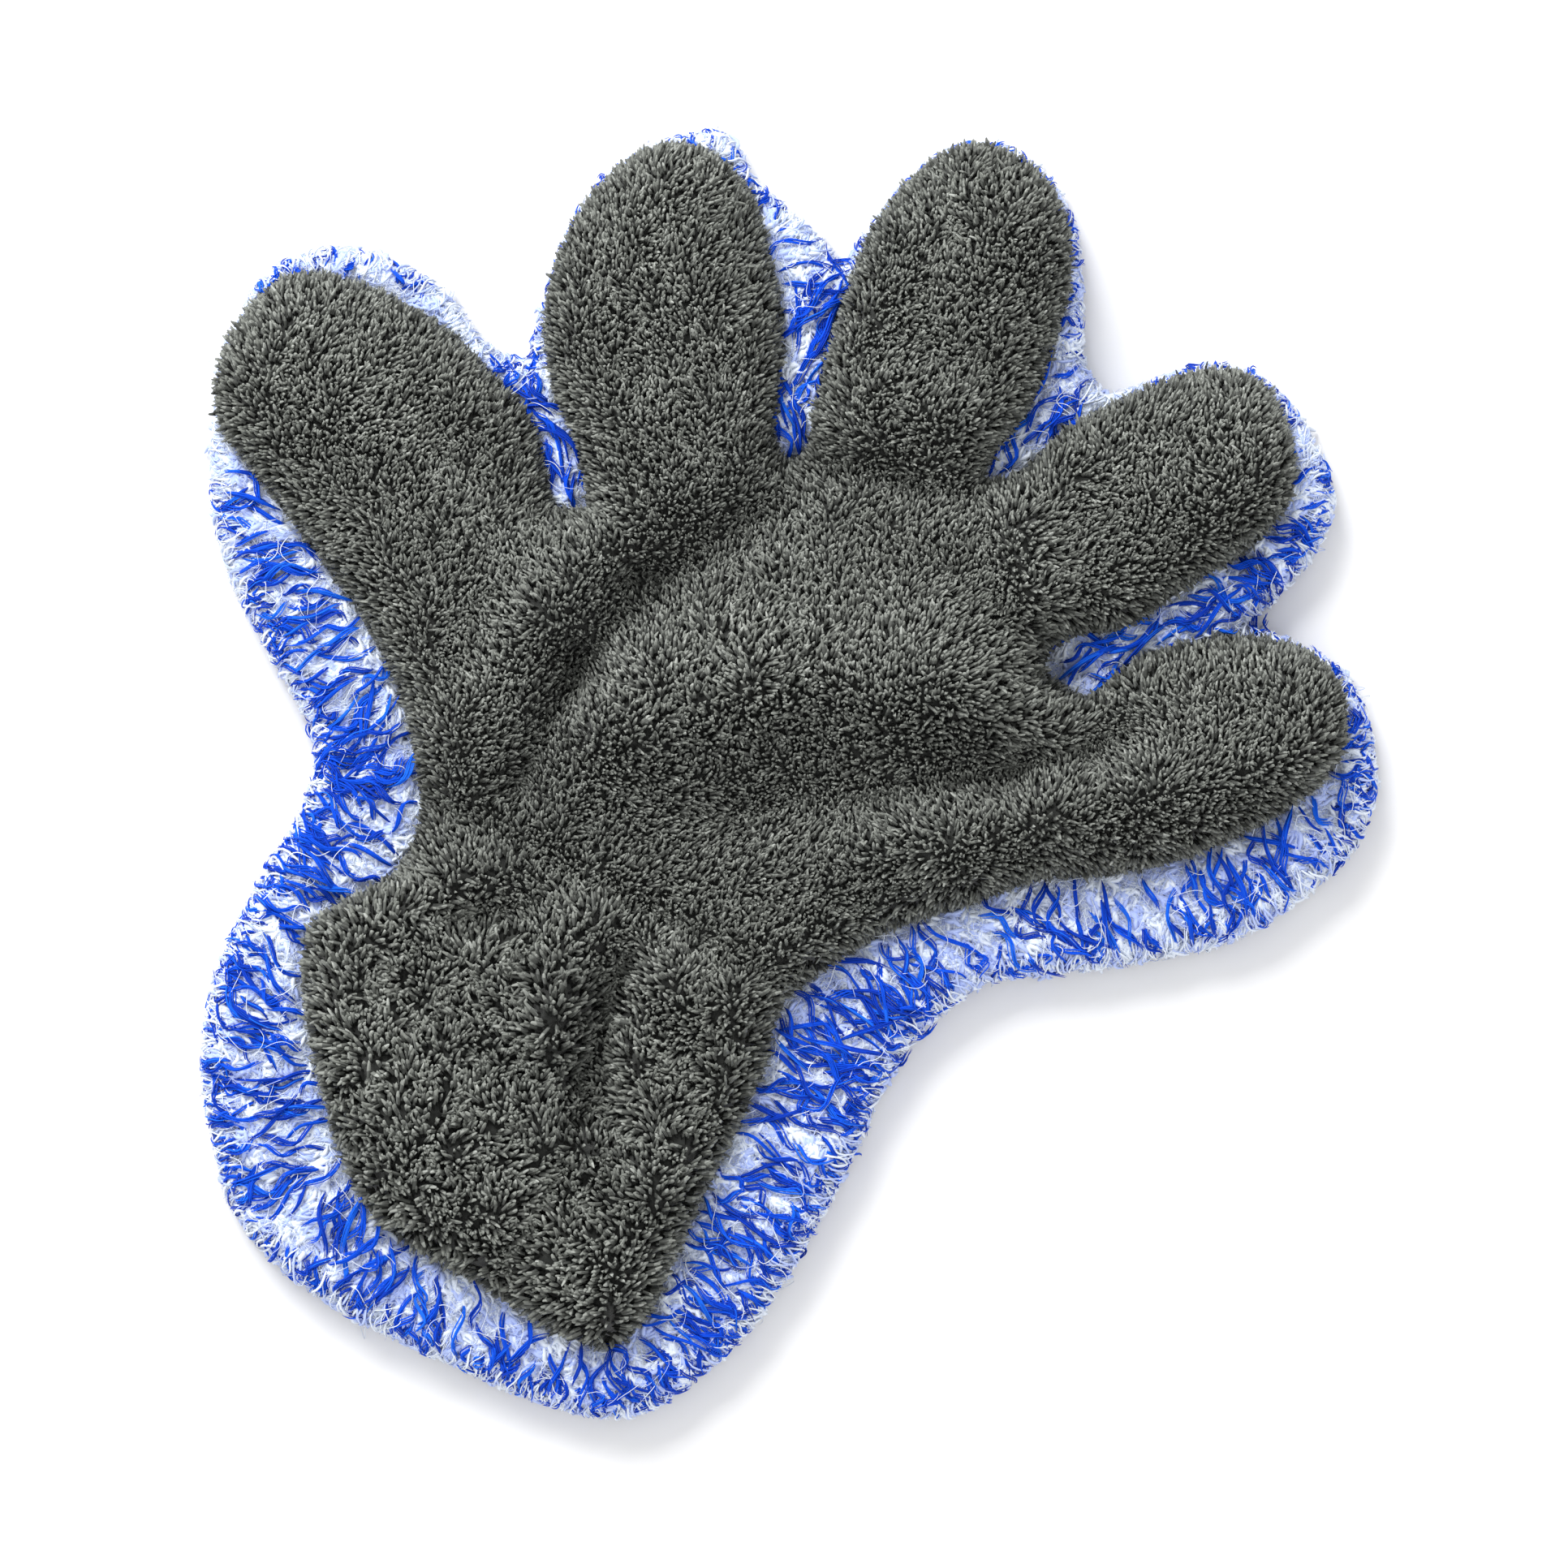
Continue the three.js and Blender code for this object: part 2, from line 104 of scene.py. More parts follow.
# Folds and swellings of the plush panel: from, to, half width, height.
RELIEF = [
    ((-38, -26), (-37.5, 4), 5, -6),
    ((-37, 4), (-33, 26), 6.5, -7),
    ((-32, 28), (-12, 58), 8, -6.5),
    ((-55, -20), (-52, 12), 6, 3),
    ((-52, 12), (-45, 30), 6, 3),
    ((-20, 0), (-6, 20), 12, 5),
    ((-4, 24), (34, 38), 13, 6),
    ((34, 36), (58, 38), 10, 4),
    ((-27, -6), (-22, 12), 6, 2),
    ((-22, -24), (-6, -14), 8, -2),
    ((4, -12), (58, 24), 7.5, -5),
    ((58, 26), (74, 38), 6, -5),
    ((36, -4), (68, 19), 5.5, 3),
    ((68, 19), (116, 57), 6, 3),
    ((-3, 69), (26, 75), 5.5, -6),
    ((-7, 88), (24, 92), 7, 3),
    ((-10, 58), (-6, 44), 6, 2.5),
    ((6, 58), (26, 60), 7, -1.5),
    ((39, 73), (51, 51), 5.5, 3.5),
    ((30, 70), (40, 55), 5, -2.5),
    ((73, 36), (79, 44), 5.5, -6),
    ((33, -22), (46, -10), 6, -2.5),
    ((-52, -37), (34, -41), 3.5, -2.5),
    ((-62, -74), (-38, -46), 6, 3),
    ((-44, -60), (-22, -47), 5.5, -5),
    ((-15, -46), (-10, -70), 5.5, 5),
    ((0, -50), (3, -74), 4.5, -8),
    ((4, -76), (14, -87), 6, -8),
    ((-3, -57), (5, -87), 4.5, -4.5),
    ((14, -60), (32, -68), 8, -3),
    ((8, -44), (10, -50), 4, 3),
    ((4, -92), (34, -94), 6, 2.5),
    ((5, -96), (7, -124), 3, -3),
    ((-44, -94), (-14, -106), 16, 2.5),
    ((-62, 108), (-56, 92), 10, 2),
    ((-46, 84), (-34, 74), 9, -1.5),
    ((-126, 40), (-104, 36), 10, 2.5),
    ((-88, 36), (-70, 40), 10, -2.5),
    ((2, 134), (4, 112), 9, 2),
    ((74, 112), (66, 96), 9, 2),
    ((104, 62), (114, 54), 8, 2),
]
# A fold is placed by its shaded wall. Its middle lies past that wall, by this share of its half width.
FOLD_SHIFT = (0.44, -0.235)
RELIEF_GAIN = 0.95  # how much of the heights above is used
# Painted light and shade on the pile: tufts are coloured lighter on the swellings and darker in the
# creases and valleys, where light and shade fall. From, to, half width, steps of shade.
PAINTED_LIGHT_AND_SHADE = [
    ((-39, -26), (-38, 4), 5, -1),
    ((-38, 4), (-30, 28), 6, -0.75),
    ((-30, 30), (-16, 56), 7, -0.75),
    ((-17, 65), (4, 73), 6, -0.75),
    ((-56, -37), (-5, -28), 8, -0.5),
    ((-3, -61), (7, -92), 5, -1),
    ((-10, -10), (51, 28), 8, -0.5),
    ((45, 53), (61, 47), 6, -0.75),
    ((-58, 18), (-50, -12), 6, 0.4),
    ((-30, 9), (30, 40), 14, 0.4),
    ((-120, 43), (-89, 30), 14, 0.4),
    ((-62, 108), (-47, 68), 12, 0.4),
    ((-4, 133), (-2, 93), 12, 0.25),
    ((73, 114), (56, 90), 12, 0.5),
    ((108, 66), (86, 46), 10, 0.5),
    ((-50, -82), (-19, -95), 14, 0.4),
    ((22, 74), (48, 66), 7, 0.5),
    ((3, -43), (21, -69), 6, 0.4),
    ((-26, -113), (27, -114), 10, 0.25),
]
# Where the shag has more or fewer blue strands: from, to, half width, change.
BLUER = [
    ((-135, 20), (-108, -12), 12, -1.0),
    ((-98, -24), (-80, -50), 12, 0.8),
    ((-81, -60), (-76, -112), 7, 0.7),
    ((-128, 64), (-86, 60), 8, -0.7),
    ((-57, 125), (-47, 119), 8, -0.6),
    ((-62, 48), (-54, 40), 10, 1.0),
    ((-22, 92), (-14, 68), 10, 1.0),
    ((94, -10), (124, 13), 14, -0.4),
]


def smooth_loop(points, step=2.0):
    """A closed curve through the points, rounded except at the ones marked as corners."""
    plain = np.array([p[:2] for p in points], float)
    corner = np.array([len(p) > 2 for p in points])
    n = len(plain)
    out = []
    for i in range(n):
        p0, p1, p2, p3 = (plain[(i + k) % n] for k in (-1, 0, 1, 2))
        m1 = (p2 - p1) * 0.5 if corner[i] else (p2 - p0) / 2
        m2 = (p2 - p1) * 0.5 if corner[(i + 1) % n] else (p3 - p1) / 2
        count = max(2, int(np.linalg.norm(p2 - p1) / step))
        t = np.arange(count)[:, None] / count
        out.append(
            (2 * t**3 - 3 * t**2 + 1) * p1
            + (t**3 - 2 * t**2 + t) * m1
            + (-2 * t**3 + 3 * t**2) * p2
            + (t**3 - t**2) * m2
        )
    return np.concatenate(out)


def segment_distance(p, a, b):
    """Distance from each point to the segment from a to b."""
    d = b - a
    t = np.clip(((p - a) @ d) / max(d @ d, 1e-9), 0, 1)
    return np.linalg.norm(p - a - t[:, None] * d, axis=1)


def inside_distance(p, loop):
    """Distance to a closed loop, positive inside."""
    best = np.full(len(p), 1e9)
    inside = np.zeros(len(p), bool)
    for a, b in zip(loop, np.roll(loop, -1, 0)):
        best = np.minimum(best, segment_distance(p, a, b))
        if a[1] != b[1]:
            crosses = (a[1] > p[:, 1]) != (b[1] > p[:, 1])
            x = a[0] + (p[:, 1] - a[1]) * (b[0] - a[0]) / (b[1] - a[1])
            inside ^= crosses & (p[:, 0] < x)
    return np.where(inside, best, -best)


# ---- fields on a grid

GRID = 1.0
LOW = np.array([-160.0, -170.0])
SIZE = (321, 341)
columns, rows = (low + GRID * np.arange(count) for low, count in zip(LOW, SIZE))
gx, gy = np.meshgrid(columns, rows, indexing="ij")
grid_points = np.stack([gx.ravel(), gy.ravel()], 1)


def on_grid(values):
    return values.reshape(SIZE)


def between(field, i, j, u, v):
    """The values inside grid cells i, j, at the shares u and v of the way across them."""
    return (
        field[i, j] * (1 - u) * (1 - v)
        + field[i + 1, j] * u * (1 - v)
        + field[i, j + 1] * (1 - u) * v
        + field[i + 1, j + 1] * u * v
    )


def sample(field, p):
    """Reads a grid field at points, between the grid's own points."""
    q = (p[:, :2] - LOW) / GRID
    q = np.clip(q, 0, np.array(SIZE) - 1.001)
    i = q.astype(int)
    f = q - i
    return between(field, i[:, 0], i[:, 1], f[:, 0], f[:, 1])


def blur(field, times):
    """Softens a grid field."""
    f = field.copy()
    for _ in range(times):
        for axis in (0, 1):
            f = (np.roll(f, 1, axis) + 2 * f + np.roll(f, -1, axis)) / 4
    return f


def soft_noise(seed, scale, amount):
    """Smooth noise on the grid with bumps of about scale mm."""
    r = np.random.default_rng(seed)
    nx = int(SIZE[0] * GRID / scale) + 4
    ny = int(SIZE[1] * GRID / scale) + 4
    coarse = r.standard_normal((nx, ny))
    x = (grid_points[:, 0] - LOW[0]) / scale + 1
    y = (grid_points[:, 1] - LOW[1]) / scale + 1
    i, j = x.astype(int), y.astype(int)
    u, v = x - i, y - j
    u, v = u * u * (3 - 2 * u), v * v * (3 - 2 * v)
    return on_grid(between(coarse, i, j, u, v)) * amount


def slope_of(field):
    return np.gradient(field, GRID)


def unit(v):
    return v / np.maximum(np.linalg.norm(v, axis=-1, keepdims=True), 1e-9)


def direction(slope, p):
    """The unit direction in which a distance field falls: out of the shape."""
    d = -np.stack([sample(slope[0], p), sample(slope[1], p)], 1)
    return d / np.maximum(np.linalg.norm(d, axis=1, keepdims=True), 1e-6)


def normal_at(slope, p):
    """The direction straight up out of a height field."""
    n = np.stack([-sample(slope[0], p), -sample(slope[1], p), np.ones(len(p))], 1)
    return n / np.linalg.norm(n, axis=1, keepdims=True)


def turned(way, angle):
    """Plane directions, each turned by its own angle."""
    c, s = np.cos(angle), np.sin(angle)
    return np.stack([way[:, 0] * c - way[:, 1] * s, way[:, 0] * s + way[:, 1] * c], 1)


def quarter_turned(way):
    """Plane directions, turned to the left by a right angle."""
    return np.stack([-way[..., 1], way[..., 0]], -1)


plush_loop = smooth_loop(PLUSH_EDGE)
shag_loop = smooth_loop(SHAG_EDGE)
in_plush = on_grid(inside_distance(grid_points, plush_loop))
in_shag = on_grid(inside_distance(grid_points, shag_loop))
in_shag = np.maximum(in_shag, in_plush)


def rounded(distance, radius):
    """0 at the edge, rising to 1 like a quarter circle at radius."""
    t = np.clip(distance / radius, 0, 1)
    return np.sqrt(np.clip(1 - (1 - t) ** 2, 0, 1))


def spread_out(table, shift=(0, 0)):
    """Adds up the soft-edged strips of a table on the grid, each moved by shift times its half width."""
    total = np.zeros(SIZE)
    for a, b, width, height in table:
        move = np.array(shift) * width
        d = segment_distance(grid_points, a + move, b + move)
        total += on_grid(height * np.exp(-((d / width) ** 2)))
    return total


# The plush panel's cloth: a rounded edge, a crown over the broad parts, the folds and small bumps.
PILE_OVERHANG = 2.4  # how far the pile reaches past the cloth that it grows out of
PLUSH_ROUND = 12.0
PLUSH_RISE = 12.5
CROWN = 1.5
CROWN_REACH = 40.0  # how far in from the edge the crown is full
CUFF_FROM_Y, CUFF_FADE = -45.0, 15.0  # where the cuff's rougher pile starts, and how softly
in_cloth = in_plush - PILE_OVERHANG
crown = CROWN * np.clip(in_cloth / CROWN_REACH, 0, 1)
folds = spread_out(RELIEF, FOLD_SHIFT) * RELIEF_GAIN
# painted light and shade for the tufts' colours, spread over the grid from the strips above
painted_light_and_shade = spread_out(PAINTED_LIGHT_AND_SHADE)
on_cuff = np.clip((CUFF_FROM_Y - gy) / CUFF_FADE, 0, 1)
plush_top = SEAM_Z + rounded(in_cloth, PLUSH_ROUND) * (PLUSH_RISE + crown + folds)
plush_top += soft_noise(seed=3, scale=15, amount=0.45) * rounded(in_cloth, radius=10)
plush_top += soft_noise(seed=4, scale=7, amount=0.3) * rounded(in_cloth, radius=6)
plush_top += soft_noise(seed=5, scale=5, amount=0.7) * rounded(in_cloth, radius=6) * on_cuff
plush_top = blur(plush_top, times=2)
# The folds settle softly on a lowest surface, so that the pocket under them stays open.
LOWEST_AT_EDGE, LOWEST_RISE, LOWEST_ROUND = 0.5, 3.5, 14.0
SETTLE = 1.5
lowest = SEAM_Z + LOWEST_AT_EDGE + LOWEST_RISE * rounded(in_cloth, LOWEST_ROUND)
above = np.maximum(plush_top, lowest) - lowest
plush_top = lowest + above**2 / (above + SETTLE)

# The pile mat of the shag panel: its upper face shows outside the plush edge, its lower face lies on
# the ground. Under the plush panel it only carries the pocket's floor.
MAT_RIM = 9.0  # how far in from the edge the mat is rounded
MAT_EDGE_TOP, MAT_RISE = 1.5, 8.0  # its upper face at the edge, and how far that rises
MAT_BASE, MAT_EDGE_LIFT = 2.2, 2.2  # its lower face, and how much higher that is at the edge
MAT_UNDER_SEAM = 1.2  # how far it stays below the seam's plane
POCKET_FLOOR = 9.5
POCKET_ROUND = 12.0
FLOOR_UNDER_SEAM = 0.8


def lumps(seed, spacing, long, wide, height, slope):
    """Woolly locks: overlapping rounded caps scattered over the grid, drawn out down a slope."""
    r = np.random.default_rng(seed)
    f = np.zeros(SIZE)
    count = int(SIZE[0] * SIZE[1] * GRID**2 / spacing**2)
    centre = LOW + r.uniform(0, 1, (count, 2)) * GRID * (np.array(SIZE) - 1)
    centre = centre[np.abs(sample(in_shag, centre)) < 40]
    along = turned(direction(slope, centre), r.normal(0, 0.5, len(centre)))
    for c, d, size in zip((centre - LOW) / GRID, along, r.uniform(0.7, 1.25, len(centre))):
        reach = long * size / GRID
        i0, i1 = max(0, int(c[0] - reach)), min(SIZE[0], int(c[0] + reach) + 2)
        j0, j1 = max(0, int(c[1] - reach)), min(SIZE[1], int(c[1] + reach) + 2)
        ii, jj = np.meshgrid(np.arange(i0, i1) - c[0], np.arange(j0, j1) - c[1], indexing="ij")
        u = (ii * d[0] + jj * d[1]) * GRID / (long * size)
        v = (jj * d[0] - ii * d[1]) * GRID / (wide * size)
        cap = height * size * np.sqrt(np.clip(1 - u**2 - v**2, 0, 1)) * (1 + 0.25 * u)
        f[i0:i1, j0:j1] = np.maximum(f[i0:i1, j0:j1], cap)
    return f


out_plush = slope_of(blur(in_plush, times=6))
out_shag = slope_of(blur(in_shag, times=6))
wool = lumps(seed=11, spacing=3.4, long=6.0, wide=3.2, height=4.6, slope=out_shag)
under_wool = lumps(seed=12, spacing=5.0, long=5.0, wide=3.4, height=1.1, slope=out_shag)
under_plush = np.clip(in_plush / 6, 0, 1)
mat_rim = rounded(in_shag, MAT_RIM)
mat_outer = MAT_EDGE_TOP + mat_rim * MAT_RISE + wool * np.clip(in_shag / 3, 0.3, 1)
mat_top = mat_outer * (1 - under_plush) + (POCKET_FLOOR - 2.0) * under_plush
mat_top = np.minimum(mat_top, np.where(in_plush > -2, SEAM_Z - MAT_UNDER_SEAM, np.inf))
mat_bottom = MAT_BASE + (1 - mat_rim) * MAT_EDGE_LIFT - under_wool
floor_rise = SEAM_Z - FLOOR_UNDER_SEAM - POCKET_FLOOR
floor_top = POCKET_FLOOR + (1 - rounded(in_plush, POCKET_ROUND)) * floor_rise

plush_slope = slope_of(plush_top)

# ---- which body a point belongs to

ZONES = ["hand", "cuff"] + [f"{name}_{part}" for name in FINGERS for part in ("base", "tip")]


def past_notch(p, k):
    """Positive on the side of notch k's centre line that is towards the thumb."""
    (x, y), deg = NOTCHES[k]
    a = math.radians(deg)
    return -(p[:, 0] - x) * math.sin(a) + (p[:, 1] - y) * math.cos(a)


def zone_of(p):
    """The zone of each point: its place in ZONES."""
    zone = np.zeros(len(p), int)
    for i, (name, (out, root, middle)) in enumerate(FINGERS.items()):
        out = np.array(out)
        here = np.ones(len(p), bool)
        if i > 0:
            here &= past_notch(p, i - 1) < 0
        if i < len(NOTCHES):
            here &= past_notch(p, i) >= 0
        here &= (p[:, :2] - root) @ out > BLEND[0]
        if name in ("thumb", "little"):
            here &= p[:, 1] > FINGER_END_Y
        tip = (p[:, :2] - middle) @ out > BLEND[0]
        zone[here] = 2 + 2 * i
        zone[here & tip] = 3 + 2 * i
    zone[p[:, 1] < CUFF_BLEND_Y[0]] = 1
    return zone


def attach(obj, zone):
    """Puts a hand piece on the hand's body; any other piece keeps its place, baked into its mesh."""
    name = ZONES[zone]
    if name == "hand":
        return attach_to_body(obj, "hand")
    if name == "cuff":
        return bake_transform(obj)
    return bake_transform(obj)


# ---- meshes

root_collection = bpy.context.scene.collection


def make_mesh(name, points, quads, tris, materials, quad_slots=None, tri_slots=None):
    """A mesh object out of points in millimetres, four-sided faces and three-sided faces."""
    mesh = bpy.data.meshes.new(name)
    quads = np.asarray(quads, np.int32).reshape(-1, 4)
    tris = np.asarray(tris, np.int32).reshape(-1, 3)
    mesh.vertices.add(len(points))
    mesh.vertices.foreach_set("co", (np.asarray(points) * MM).astype(np.float32).ravel())
    mesh.loops.add(4 * len(quads) + 3 * len(tris))
    mesh.loops.foreach_set("vertex_index", np.concatenate([quads.ravel(), tris.ravel()]))
    mesh.polygons.add(len(quads) + len(tris))
    starts = np.concatenate([4 * np.arange(len(quads)), 4 * len(quads) + 3 * np.arange(len(tris))])
    mesh.polygons.foreach_set("loop_start", starts.astype(np.int32))
    for m in materials:
        mesh.materials.append(m)
    if quad_slots is not None:
        slots = np.concatenate([quad_slots, tri_slots]).astype(np.int32)
        mesh.polygons.foreach_set("material_index", slots)
    mesh.polygons.foreach_set("use_smooth", np.full(len(starts), True))
    mesh.update(calc_edges=True)
    obj = bpy.data.objects.new(name, mesh)
    root_collection.objects.link(obj)
    return obj


CELL_CORNERS = ((0, 0), (1, 0), (1, 1), (0, 1))
# For each side of a cell: the step to the neighbour there, and the two corners on that side.
CELL_SIDES = (((0, -1), (0, 1)), ((1, 0), (1, 2)), ((0, 1), (2, 3)), ((-1, 0), (3, 0)))


def shell_mesh(name, top, bottom, cells, material):
    """A closed shell between two grid fields over the marked grid cells."""
    ci, cj = np.nonzero(cells)
    used = np.zeros(SIZE, bool)
    for a, b in CELL_CORNERS:
        used[ci + a, cj + b] = True
    n = used.sum()
    index = np.full(SIZE, -1)
    index[used] = np.arange(n)
    ui, uj = np.nonzero(used)
    x = LOW[0] + GRID * ui
    y = LOW[1] + GRID * uj
    points = np.concatenate([np.stack([x, y, face[ui, uj]], 1) for face in (top, bottom)])
    corner = [index[ci + a, cj + b] for a, b in CELL_CORNERS]
    upper = np.stack(corner, 1)
    lower = np.stack(corner[::-1], 1) + n
    walls = []
    padded = np.pad(cells, 1)
    for (di, dj), (a, b) in CELL_SIDES:
        edge = ~padded[ci + 1 + di, cj + 1 + dj]
        p, q = corner[a][edge], corner[b][edge]
        walls.append(np.stack([q, p, p + n, q + n], 1))
    quads = np.concatenate([upper, lower, *walls])
    return make_mesh(name, points, quads, [], [material])


def frames_along(paths, up):
    """Side and face directions at each point of many paths, (n, k, 3) each."""
    tangent = unit(np.gradient(paths, axis=1))
    side = unit(np.cross(tangent, up))
    return side, np.cross(side, tangent)


TIP_REACH = 0.35  # how far a strand's point runs on, as a share of its last stretch
TIP_CLEARANCE = 0.3  # a strand's point stays this far above the ground


def strands(name, paths, width, thick, up, sides, ring_slots, materials):
    """Many tapering strands as one mesh. paths is (n, k, 3); width and thick are (n, k) half sizes;
    ring_slots is (n, k) and gives the material of the band of faces after each ring."""
    n, k, _ = paths.shape
    side, face = frames_along(paths, up)
    angle = 2 * math.pi * np.arange(sides) / sides
    ring = (
        paths[:, :, None, :]
        + side[:, :, None, :] * (width[:, :, None] * np.cos(angle))[..., None]
        + face[:, :, None, :] * (thick[:, :, None] * np.sin(angle))[..., None]
    )
    per = k * sides + 2
    points = np.concatenate([ring.reshape(n, k * sides, 3), paths[:, :1], paths[:, -1:]], 1)
    tangent = paths[:, -1] - paths[:, -2]
    points[:, -1] += tangent * TIP_REACH
    points[:, -1, 2] = np.maximum(points[:, -1, 2], TIP_CLEARANCE)
    base = per * np.arange(n)[:, None, None]
    row = sides * np.arange(k - 1)[None, :, None]
    s = np.arange(sides)[None, None, :]
    s2 = (s + 1) % sides
    ring_start = base + row
    next_start = ring_start + sides
    quads = np.stack([ring_start + s2, ring_start + s, next_start + s, next_start + s2], -1)
    quad_slots = np.repeat(ring_slots[:, : k - 1, None], sides, 2).ravel()
    b = per * np.arange(n)[:, None]
    s, s2 = s[0], s2[0]
    end = (k - 1) * sides
    tip_tris = np.stack(np.broadcast_arrays(b + end + s2, b + end + s, b + per - 1), -1)
    root_tris = np.stack(np.broadcast_arrays(b + s, b + s2, b + per - 2), -1)
    tris = np.concatenate([tip_tris.reshape(-1, 3), root_tris.reshape(-1, 3)])
    tri_slots = np.concatenate([np.repeat(ring_slots[:, -1], sides), np.repeat(ring_slots[:, 0], sides)])
    return make_mesh(name, points.reshape(-1, 3), quads, tris, materials, quad_slots, tri_slots)


# ---- materials


def linear(*srgb):
    """An sRGB colour, 0 to 255, as the linear colour that Blender wants."""
    c = [v / 255 for v in srgb]
    return [v / 12.92 if v <= 0.04045 else ((v + 0.055) / 1.055) ** 2.4 for v in c] + [1]


def new_material(name, settings):
    """A material with its shader, whose inputs are set by name."""
    m = bpy.data.materials.new(name)
    m.use_nodes = True
    shader = m.node_tree.nodes["Principled BSDF"]
    set_inputs(shader, settings)
    return m, shader


def set_inputs(node, settings):
    for name, value in settings.items():
        node.inputs[name].default_value = value


def fibre_material(name, colour, roughness, sheen, tint=(200, 205, 200)):
    """Plain coloured microfibre: the pile's own strands give it its pattern."""
    looks = {
        "Base Color": linear(*colour),
        "Roughness": roughness,
        "Specular IOR Level": 0.25,
        "Sheen Weight": sheen,
        "Sheen Roughness": 0.5,
        "Sheen Tint": linear(*tint),
    }
    return new_material(name, looks)[0]


def cloth_material(name, dark, light, scale, bump, stretch=(1, 1, 1)):
    """A cloth or wool surface: noise in two sizes drives its colour and its bump."""
    m, shader = new_material(name, {"Roughness": 0.85, "Specular IOR Level": 0.2, "Sheen Weight": 0.3})
    nodes, links = m.node_tree.nodes, m.node_tree.links
    place = nodes.new("ShaderNodeTexCoord")
    mapping = nodes.new("ShaderNodeMapping")
    mapping.inputs["Scale"].default_value = stretch
    links.new(place.outputs["Object"], mapping.inputs["Vector"])
    broad = nodes.new("ShaderNodeTexNoise")
    set_inputs(broad, {"Scale": scale, "Detail": 6, "Distortion": 0.6})
    links.new(mapping.outputs["Vector"], broad.inputs["Vector"])
    fine = nodes.new("ShaderNodeTexNoise")
    set_inputs(fine, {"Scale": scale * 7, "Detail": 4, "Distortion": 2.5})
    links.new(mapping.outputs["Vector"], fine.inputs["Vector"])
    ramp = nodes.new("ShaderNodeValToRGB")
    ramp.color_ramp.elements[0].position = 0.35
    ramp.color_ramp.elements[0].color = linear(*dark)
    ramp.color_ramp.elements[1].position = 0.62
    ramp.color_ramp.elements[1].color = linear(*light)
    links.new(broad.outputs["Fac"], ramp.inputs["Fac"])
    links.new(ramp.outputs["Color"], shader.inputs["Base Color"])
    height = nodes.new("ShaderNodeBump")
    set_inputs(height, {"Strength": bump, "Distance": 0.0006})
    links.new(fine.outputs["Fac"], height.inputs["Height"])
    links.new(height.outputs["Normal"], shader.inputs["Normal"])
    return m


# Lighter and darker copies of one grey for painted light and shade; the first is painted shade at the
# tufts' roots.
GREYS = [
    fibre_material("plush_root_painted_shade", (30, 31, 29), 0.9, 0.05),
    fibre_material("plush_deep", (65, 67, 63), 0.85, 0.15),
    fibre_material("plush_dark", (96, 98, 94), 0.8, 0.25),
    fibre_material("plush_mid", (123, 126, 120), 0.8, 0.3),
    fibre_material("plush_light", (146, 149, 143), 0.75, 0.35),
    fibre_material("plush_pale", (172, 175, 169), 0.75, 0.4),
]
BLUES = [
    fibre_material("shag_blue", (0, 80, 222), 0.8, 0.05, (110, 170, 255)),
    fibre_material("shag_blue_deep", (0, 60, 190), 0.8, 0.05, (90, 140, 255)),
    fibre_material("shag_blue_light", (18, 106, 240), 0.8, 0.08, (150, 200, 255)),
]
WHITES = [
    fibre_material("shag_white", (232, 241, 255), 0.7, 0.4, (255, 255, 255)),
    fibre_material("shag_lavender", (189, 206, 255), 0.7, 0.4, (235, 240, 255)),
]
WOOL = cloth_material("shag_wool", (183, 200, 255), (240, 247, 255), 230, 0.9)
PLUSH_BACK = cloth_material("plush_backing", (34, 35, 33), (58, 60, 57), 400, 0.6)
TAPE = cloth_material("band_cloth", (40, 41, 40), (60, 61, 60), 600, 0.8, (1, 6, 1))

# ---- the plush panel

rng = np.random.default_rng(20)
TUFT_SPACING = 0.84
COMB = math.radians(108)  # the way most of the plush is brushed
RIM_STRIP = 2.2  # the tufts stand closer in this strip inside the cloth's edge
HEM_MIDDLE, HEM_HALF = -0.3, 0.6  # the strip of tufts that hang over the seam
TUFT_LENGTH = (2.3, 3.8)
TUFT_HALF_WIDTH = (0.33, 0.48)
TUFTS_PER_PIECE = 9500
TUFT_STEPS = np.array([0.0, 0.45, 0.82, 1.0])  # where a tuft's four rings are along it
TUFT_TAPER = np.array([0.6, 0.95, 1.0, 0.62])
# The materials of the four bands from root to tip, in rows from the darkest tuft to the palest. The
# root bands are painted darker, as shade among the tufts.
TUFT_SHADES = np.array([[0, 0, 1, 1], [0, 1, 2, 2], [0, 2, 3, 3], [0, 2, 4, 4], [1, 3, 5, 5]])
MIDDLE_SHADE = 2.2
rough = 0.45 + 0.55 * on_cuff  # the cuff's pile is the most tousled
comb_turn = soft_noise(seed=21, scale=30, amount=0.7) + soft_noise(seed=22, scale=4.5, amount=1.15) * rough
comb_lean = soft_noise(seed=23, scale=18, amount=0.08) + soft_noise(seed=24, scale=4, amount=0.18) * rough
tone_noise = soft_noise(seed=25, scale=9, amount=0.08) + soft_noise(seed=26, scale=2.4, amount=0.25) * rough


def scatter(spacing, keep):
    """Points on a shaken grid, kept by a test on the points."""
    row_height = 0.87  # of a triangular grid, as a share of its spacing
    shake = 0.42
    nx = int(SIZE[0] * GRID / spacing)
    ny = int(SIZE[1] * GRID / (spacing * row_height))
    i, j = np.meshgrid(np.arange(nx), np.arange(ny), indexing="ij")
    x = LOW[0] + (i + 0.5 * (j % 2)) * spacing
    y = LOW[1] + j * spacing * row_height
    p = np.stack([x.ravel(), y.ravel()], 1)
    p += rng.uniform(-shake, shake, p.shape) * spacing
    return p[keep(p)]


